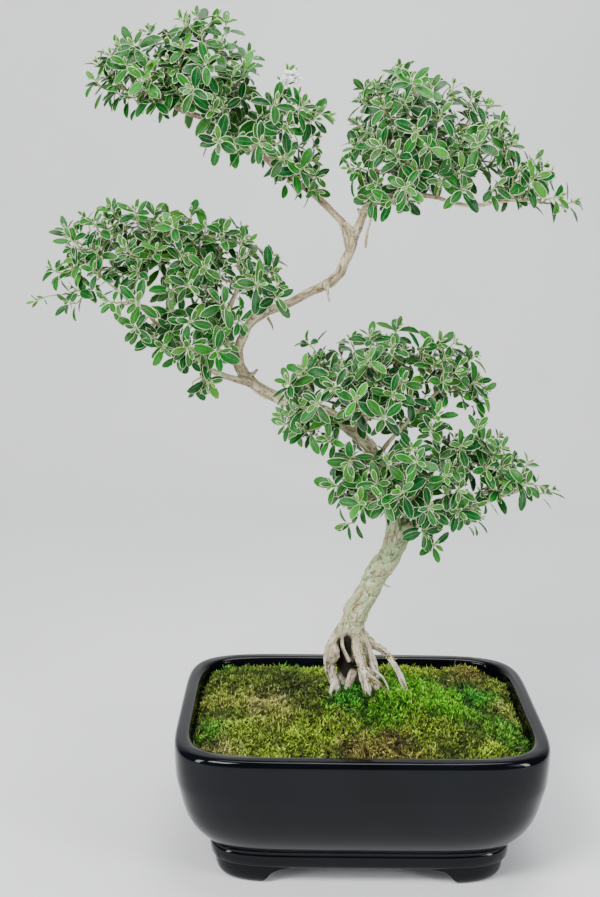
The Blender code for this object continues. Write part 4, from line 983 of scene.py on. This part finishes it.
for p in pot.data.polygons:
    p.material_index = 0
pot.data.materials.clear()
pot.data.materials.append(GLAZE)
pot.data.shade_smooth()
pot.data.set_sharp_from_angle(angle=math.radians(38))
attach(pot, "root")
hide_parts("pot")

# ---- soil, moss ---------------------------------------------------------------------------
def inner_half(z):
    rows = INNER[4:]
    for (z1, a1), (z0, a0) in zip(rows, rows[1:]):
        if z >= z0:
            return a0 + (a1 - a0) * (z - z0) / (z1 - z0)
    return rows[-1][1]


def fbm(x, y, scale, seed, octaves=3):
    out = np.zeros(len(x))
    for o in range(octaves):
        f = scale * 2**o
        out += np.array([noise.noise(Vector((a * f, b * f, seed + o * 5.0))) for a, b in zip(x, y)]) / 2**o
    return out


def mound(x, y):
    edge = np.maximum(np.abs(x) / 121.0, np.abs(y) / 88.0)
    base = 99.0 + 12.0 * np.maximum(0.0, 1 - edge**2.2)
    return base + 4.0 * np.exp(-((x + 2) ** 2 + (y - 8) ** 2) / (2 * 38.0**2))


zs = [22.35, 25, 38, 50, 66, 84, 92.0]
soil = loft("soil_body", [plan(inner_half(z) - 0.65, half_depth(inner_half(z)) - 1.65, z, 120) for z in zs], [SOIL])
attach(soil, "root")
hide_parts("soil")

# Kinds of moss, and where each grows: (x, y) in mm from the pot's middle, kind, how mixed it is. The 'shade' kind is
# painted shade, a darker moss colour where shade falls.
TONES = {
    "fresh": (0.070, 0.23, 0.020), "olive": (0.115, 0.17, 0.021), "shade": (0.065, 0.10, 0.018), "straw": (0.42, 0.41, 0.16), "lime": (0.225, 0.34, 0.028),
    "brown": (0.19, 0.16, 0.045), "emerald": (0.030, 0.19, 0.016), "bright": (0.12, 0.42, 0.010), "khaki": (0.26, 0.30, 0.062),
}
ZONES = [
    (-109, 82, "fresh", 0.5), (-118, 53, "olive", 0.6), (-84, 53, "olive", 0.7), (-77, 87, "olive", 0.5), (-43, 92, "fresh", 0.5), (-58, 38, "shade", 0.7), (-45, 14, "shade", 0.7), (-24, 61, "lime", 0.5), (-11, 84, "olive", 0.6),
    (-90, 7, "khaki", 0.9), (-68, -3, "straw", 1.1), (-96, -21, "olive", 0.7), (-66, -34, "khaki", 0.9), (-110, -35, "fresh", 0.5), (-103, -67, "straw", 1.2), (-80, -53, "lime", 0.8), (-75, -79, "lime", 0.7), (-37, -13, "olive", 0.7),
    (-52, -57, "lime", 0.6), (-44, -78, "lime", 0.7), (-26, -52, "lime", 0.7), (-5, -78, "brown", 0.9), (23, -68, "brown", 0.7), (-9, -19, "emerald", 0.4), (3, 6, "emerald", 0.3), (41, 21, "bright", 0.25), (63, -4, "bright", 0.3), (18, -29, "bright", 0.4),
    (51, -55, "lime", 0.5), (92, -73, "lime", 0.6), (70, -61, "olive", 0.7), (91, 17, "emerald", 0.5), (95, 66, "brown", 0.9), (115, 50, "olive", 0.9), (109, -22, "fresh", 0.5), (122, -4, "khaki", 1.0), (112, -57, "fresh", 0.5), (74, 41, "shade", 0.6), (55, 73, "lime", 0.6), (112, 85, "lime", 0.7),
]
zone_xy = np.array([(x, y) for x, y, _, _ in ZONES], float)
zone_rgb = np.array([TONES[t] for _, _, t, _ in ZONES])
zone_spread = np.array([m for _, _, _, m in ZONES])


def moss_colour(x, y, rng, amount=1.0):
    jx = x + 9.0 * fbm(x, y, 0.07, 3.0, 2) + rng.normal(size=len(x)) * 1.6
    jy = y + 9.0 * fbm(x, y, 0.07, 23.0, 2) + rng.normal(size=len(x)) * 1.6
    d = (jx[:, None] - zone_xy[None, :, 0]) ** 2 + (jy[:, None] - zone_xy[None, :, 1]) ** 2
    w = 1.0 / (d + 30.0) ** 2.2
    w /= w.sum(1, keepdims=True)
    rgb = w @ zone_rgb
    spread = w @ zone_spread
    v = np.exp(rng.normal(size=len(x)) * 0.42 * amount)
    rgb = rgb * v[:, None]
    dry = (rng.uniform(size=len(x)) < 0.10 * spread * amount)[:, None]
    rgb = np.where(dry, np.array([0.46, 0.38, 0.19]) * rng.uniform(0.5, 1.1, size=(len(x), 1)), rgb)
    return np.clip(rgb, 0.004, 0.8)


# The patches are stretched at their outer sides, so that together they fill the pot.
REACH = {
    "moss_left": (-123, -28.5, -49.5, 90), "moss_front_left": (-123, -90, -23.5, -28.5), "moss_front": (-23.5, -90, 52.5, -28.5), "moss_bright": (-49.5, -28.5, 52.5, 6.5),
    "moss_back": (-49.5, 6.5, 52.5, 90), "moss_right_back": (52.5, 1.5, 123, 90), "moss_right_front": (52.5, -90, 123, 1.5),
}


def inside_pot(x, y, margin):
    a = 122.6 - margin
    b = 87.6 - margin
    return (np.abs(x) / a) ** SQUARENESS + (np.abs(y) / b) ** SQUARENESS <= 1.0


def lumps(x, y):
    return fbm(x, y, 0.040, 51.0, 2), fbm(x, y, 0.15, 77.0, 2)


def surface(x, y, soft=None):
    big, small = soft if soft is not None else lumps(x, y)
    z = mound(x, y) + 3.6 * big + 1.7 * small
    z = z + 9.0 * np.exp(-(((x - 16) / 30.0) ** 2 + ((y + 12) / 24.0) ** 2) / 2)
    k = ((np.abs(x) / 122.6) ** SQUARENESS + (np.abs(y) / 87.6) ** SQUARENESS) ** (1 / SQUARENESS)
    z = z - 9.0 * np.clip((k - 0.955) / 0.045, 0, 1) ** 2
    side = np.clip((np.abs(x) - 108) / 14, 0, 1) * np.exp(-((y + 5) / 38.0) ** 2)
    return np.minimum(z - 4.0 * side, 127.0)


for index, (node, (x0, y0, x1, y1)) in enumerate(REACH.items()):
    rng = np.random.default_rng(100 + index)
    step = 2.0
    gx, gy = np.meshgrid(np.arange(x0, x1 + 0.01, step), np.arange(y0, y1 + 0.01, step), indexing="ij")
    shape = gx.shape
    x, y = gx.ravel().copy(), gy.ravel().copy()
    # Points past the pot's inner wall slide back to it.
    k = ((np.abs(x) / 122.0) ** SQUARENESS + (np.abs(y) / 87.0) ** SQUARENESS) ** (1 / SQUARENESS)
    x, y = np.where(k > 1, x / k, x), np.where(k > 1, y / k, y)
    z = surface(x, y) - 1.4
    top = np.stack([x, y, z], 1)
    low = np.stack([x, y, np.full(len(x), 92.3)], 1)
    idx = np.arange(len(x)).reshape(shape)
    a, b, c, d = idx[:-1, :-1].ravel(), idx[1:, :-1].ravel(), idx[1:, 1:].ravel(), idx[:-1, 1:].ravel()
    quads = [np.stack([a, b, c, d], 1), np.stack([d, c, b, a], 1) + len(x)]
    border = np.concatenate([idx[:, 0], idx[-1, 1:], idx[-2::-1, -1], idx[0, -2:0:-1]])
    nxt = np.roll(border, -1)
    quads.append(np.stack([border, border + len(x), nxt + len(x), nxt], 1)[:, ::-1])
    # Painted shade: the ground under the filaments is the moss colour darkened, and darker still down the cushion's
    # sides.
    ground_rgb = moss_colour(x, y, rng, 0.6) * 0.28
    verts = [top, low]
    colours = [ground_rgb, ground_rgb * 0.3]
    base = 2 * len(x)
    area = (x1 - x0) * (y1 - y0)
    count = int(area * 0.66)
    px, py = rng.uniform(x0, x1, count), rng.uniform(y0, y1, count)
    keep = inside_pot(px, py, 0.6)
    # Only filaments inside the pot's wall are kept.
    px, py = px[keep], py[keep]
    count = len(px)
    soft = lumps(px, py)
    pz = surface(px, py, soft) - 1.2
    # Painted shade: filaments in the mat's hollows are darker and those on its lumps lighter, with a random tone per
    # tuft on top.
    shade = np.clip(0.80 + 0.85 * soft[0] + 1.0 * soft[1] + 0.9 * fbm(px, py, 0.42, 13.0, 1), 0.22, 1.7)
    tuft = fbm(px, py, 0.16, 9.0, 2)
    lean_a = rng.uniform(0, 2 * math.pi, count) * 0.5 + fbm(px, py, 0.05, 31.0, 1) * 6.0
    lean = rng.uniform(0.15, 1.15, count)
    d = np.stack([np.cos(lean_a) * np.sin(lean), np.sin(lean_a) * np.sin(lean), np.cos(lean)], 1)
    length = rng.uniform(2.0, 5.2, count) * (1.0 + 0.6 * tuft)
    length = np.where(rng.uniform(size=count) < 0.03, length * 1.7, length)
    k = ((np.abs(px) / 122.0) ** SQUARENESS + (np.abs(py) / 87.0) ** SQUARENESS) ** (1 / SQUARENESS)
    width = rng.uniform(0.25, 0.47, count)
    ref = unit(np.cross(d, np.array([0.31, 0.47, 0.2])))
    other = np.cross(d, ref)
    curl = rng.normal(size=(count, 3)) * 0.45
    mid = np.stack([px, py, pz], 1) + d * (length * 0.55)[:, None]
    tip = mid + unit(d + curl) * (length * 0.5)[:, None]
    # No filament leans through the pot's wall.
    kk = ((np.abs(tip[:, 0]) / 122.0) ** SQUARENESS + (np.abs(tip[:, 1]) / 87.0) ** SQUARENESS) ** (1 / SQUARENESS)
    over = (kk > 1.0) & (tip[:, 2] < 108.5)
    tip[over, 0] /= kk[over]
    tip[over, 1] /= kk[over]
    root = np.stack([px, py, pz], 1)
    rings = []
    for centre, w in ((root, width), (mid, width * 1.25)):
        for a in (0, 2.094, 4.189):
            rings.append(centre + (ref * math.cos(a) + other * math.sin(a)) * w[:, None])
    blade = np.stack(rings + [tip], 1)  # count, 7, 3
    off = base + np.arange(count)[:, None] * 7
    f_q = np.concatenate([off + np.array([[0, 1, 4, 3]]), off + np.array([[1, 2, 5, 4]]), off + np.array([[2, 0, 3, 5]])])
    f_t = np.concatenate([off + np.array([[2, 1, 0]]), off + np.array([[3, 4, 6]]), off + np.array([[4, 5, 6]]), off + np.array([[5, 3, 6]])])
    rgb = moss_colour(px, py, rng) * shade[:, None] * np.array([0.98, 1.08, 0.75])
    # Painted shade and highlight: each filament is darkened at its base, deep in the mat, and brightened at its tip.
    base_shade_tip_highlight = np.array([0.20, 0.20, 0.20, 0.85, 0.85, 0.85, 1.6])
    blade_rgb = np.clip(rgb[:, None] * base_shade_tip_highlight[None, :, None], 0.003, 0.85)
    verts.append(blade.reshape(-1, 3))
    colours.append(blade_rgb.reshape(-1, 3))
    piece = new_mesh(node + "_cushion", np.vstack(verts), [np.vstack(quads + [f_q]), f_t], mats=[MOSS], attrs={"tone": np.vstack(colours)})
    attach(piece, "root")
    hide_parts(node)
    print(node, "filaments", count)

# Yellow-green lichen and bits of moss that cling to the roots' right side.
rng = np.random.default_rng(77)
grips = []
for _ in range(420):
    key = ("root_right", "root_front", "root_fork", "trunk", "root_left")[int(rng.choice(5, p=[0.36, 0.22, 0.22, 0.14, 0.06]))]
    line = WOOD[key]
    k = int(rng.integers(0, 3)) if key != "trunk" else int(rng.integers(1, 4))
    f = rng.uniform()
    a, b = line[k], line[k + 1]
    c = a * (1 - f) + b * f
    turn = rng.uniform(0, 2 * math.pi)
    out = unit(np.array([math.cos(turn) + 0.5, math.sin(turn) - 0.5, rng.uniform(-0.1, 0.5)]))
    grips.append((c[:3] + out * c[3] * 0.85, out))
root = np.array([g[0] for g in grips])
d = unit(np.array([g[1] for g in grips]) + rng.normal(size=(len(grips), 3)) * 0.35)
length = rng.uniform(1.2, 3.4, len(grips))
width = rng.uniform(0.25, 0.5, len(grips))
ref = unit(np.cross(d, np.array([0.31, 0.47, 0.2])))
other = np.cross(d, ref)
mid = root + d * (length * 0.5)[:, None]
tip = mid + unit(d + np.array([0, 0, -0.7]) + rng.normal(size=d.shape) * 0.5) * (length * 0.6)[:, None]
blade = np.stack([c + (ref * math.cos(a) + other * math.sin(a)) * (width * w)[:, None] for c, w in ((root, 1.0), (mid, 1.2)) for a in (0, 2.094, 4.189)] + [tip], 1)
off = np.arange(len(root))[:, None] * 7
f_q = np.concatenate([off + np.array([[0, 1, 4, 3]]), off + np.array([[1, 2, 5, 4]]), off + np.array([[2, 0, 3, 5]])])
f_t = np.concatenate([off + np.array([[2, 1, 0]]), off + np.array([[3, 4, 6]]), off + np.array([[4, 5, 6]]), off + np.array([[5, 3, 6]])])
tone = np.array([0.42, 0.42, 0.035]) * rng.uniform(0.4, 1.2, (len(root), 1)) * np.array([1, 1, 1])
tone = np.where(rng.uniform(size=(len(root), 1)) < 0.3, np.array([0.13, 0.10, 0.04]), tone)
lichen = new_mesh("root_lichen", blade.reshape(-1, 3), [f_q, f_t], mats=[MOSS], attrs={"tone": np.repeat(tone, 7, axis=0)})
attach(lichen, "root")

# ---- flower -------------------------------------------------------------------------------
lo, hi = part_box("flower")
centre = (np.array(lo) + np.array(hi)) / 2 * 1000 - SHIFT
rows = []
rng = np.random.default_rng(5)
for bloom, (off, axis, size) in enumerate([((2.0, -1.0, 2.0), (0.35, -0.55, 0.75), 1.0), ((-4.5, -2.0, -3.0), (-0.2, -0.7, 0.6), 0.72)]):
    axis = unit(np.array(axis))
    ref = unit(np.cross(axis, np.array([0.2, 0.9, 0.1])))
    for whorl, (count, angle, length) in enumerate([(7, 84, 7.4), (7, 60, 6.2), (6, 36, 5.0), (4, 12, 3.8)]):
        for i in range(count):
            phi = 2 * math.pi * i / count + whorl * 0.5 + rng.normal() * 0.15
            radial = ref * math.cos(phi) + np.cross(axis, ref) * math.sin(phi)
            a = math.radians(angle + rng.normal() * 10)
            aim = unit(axis * math.cos(a) + radial * math.sin(a))
            up = unit(axis * math.sin(a) - radial * math.cos(a))
            s = length * size * rng.uniform(0.85, 1.15)
            rows.append((centre + np.array(off) + axis * whorl * 0.35, aim, up, s, s * 0.60, rng.uniform(0.1, 1.1), math.radians(rng.uniform(5, 35)), rng.normal() * 0.3, 0.0, 0.5, rng.uniform(0.2, 0.5)))
cols = [np.array([r[i] for r in rows], float) for i in range(11)]
verts, rim, mid_a, along, young, tint = leaf_arrays(*cols)
n, nv = verts.shape[:2]
offs = (np.arange(n) * nv)[:, None, None]
flower = new_mesh("flower_double", verts.reshape(-1, 3), [(LEAF_QUADS[None] + offs).reshape(-1, 4), (LEAF_TRIS[None] + offs).reshape(-1, 3)], mats=[PETAL])
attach(flower, "root")
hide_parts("flower")

# ---- drainage screens and staples keep their shape and get their finish ---------------------
SCREEN, WIRE = screen_material(), wire_material()
for name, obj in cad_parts.items():
    m = SCREEN if name.startswith("drain_screen") else WIRE if name.startswith("screen_staple") else None
    if m:
        if not obj.data.materials:
            obj.data.materials.append(m)
        for slot in obj.material_slots:
            slot.material = m

# ---- floor, light -------------------------------------------------------------------------
floor_mat = Nodes("pale_floor")
floor_mat.set("Base Color", floor_mat.ramp(floor_mat.noise(3.0, 2.0), [(0.4, (0.76, 0.77, 0.78)), (0.6, (0.79, 0.80, 0.81))]))
floor_mat.set("Roughness", 0.75)
# Seen from behind or below, the sweep is clear, so it never hides the object.
one_sided = floor_mat.add("ShaderNodeMixShader")
floor_mat.tree.links.new(floor_mat.add("ShaderNodeNewGeometry").outputs["Backfacing"], one_sided.inputs[0])
floor_mat.tree.links.new(floor_mat.shader.outputs[0], one_sided.inputs[1])
floor_mat.tree.links.new(floor_mat.add("ShaderNodeBsdfTransparent").outputs[0], one_sided.inputs[2])
floor_mat.tree.links.new(one_sided.outputs[0], floor_mat.tree.nodes["Material Output"].inputs["Surface"])
ys = np.concatenate([[-3500.0, 900.0], 900 + 500 * np.sin(np.linspace(0.15, math.pi / 2, 14)), [1400.0]])
zs_ = np.concatenate([[0.0, 0.0], 500 - 500 * np.cos(np.linspace(0.15, math.pi / 2, 14)), [2600.0]])
prof = np.stack([ys, zs_], 1)
verts = np.array([(x, y, z - 0.05) for x in (-3000.0, 3000.0) for y, z in prof])
m = len(prof)
quads = np.array([[i, m + i, m + i + 1, i + 1] for i in range(m - 1)])
floor = new_mesh("floor_sweep", verts, [quads], mats=[floor_mat.mat])


def area(name, at, aim, w, h, power, colour=(1, 1, 1)):
    d = bpy.data.lights.new(name, "AREA")
    d.shape = "RECTANGLE"
    d.size, d.size_y, d.energy, d.color = w, h, power, colour
    o = bpy.data.objects.new(name, d)
    bpy.context.scene.collection.objects.link(o)
    o.location = Vector(at) + Vector(SHIFT * MM)
    o.rotation_euler = (Vector(aim) - Vector(at)).to_track_quat("-Z", "Y").to_euler()
    return o


area("key", (-0.9, -1.3, 1.9), (0, 0, 0.35), 0.7, 0.7, 50, (1.0, 0.99, 0.97))
area("fill", (1.3, -1.1, 1.1), (0, 0, 0.3), 0.7, 1.0, 8, (0.96, 0.98, 1.0))
area("top", (0.1, 0.1, 1.9), (0, 0, 0.3), 1.0, 1.0, 29)
area("strip_left", (-1.0, -0.70, 0.55), (0, 0, 0.10), 0.20, 0.80, 11)
area("strip_right", (1.0, -0.75, 0.55), (0, 0, 0.10), 0.20, 0.80, 11)
world = bpy.data.worlds.new("studio")
world.use_nodes = True
world.node_tree.nodes["Background"].inputs[0].default_value = (0.80, 0.86, 0.95, 1.0)
world.node_tree.nodes["Background"].inputs[1].default_value = 0.09
bpy.context.scene.world = world
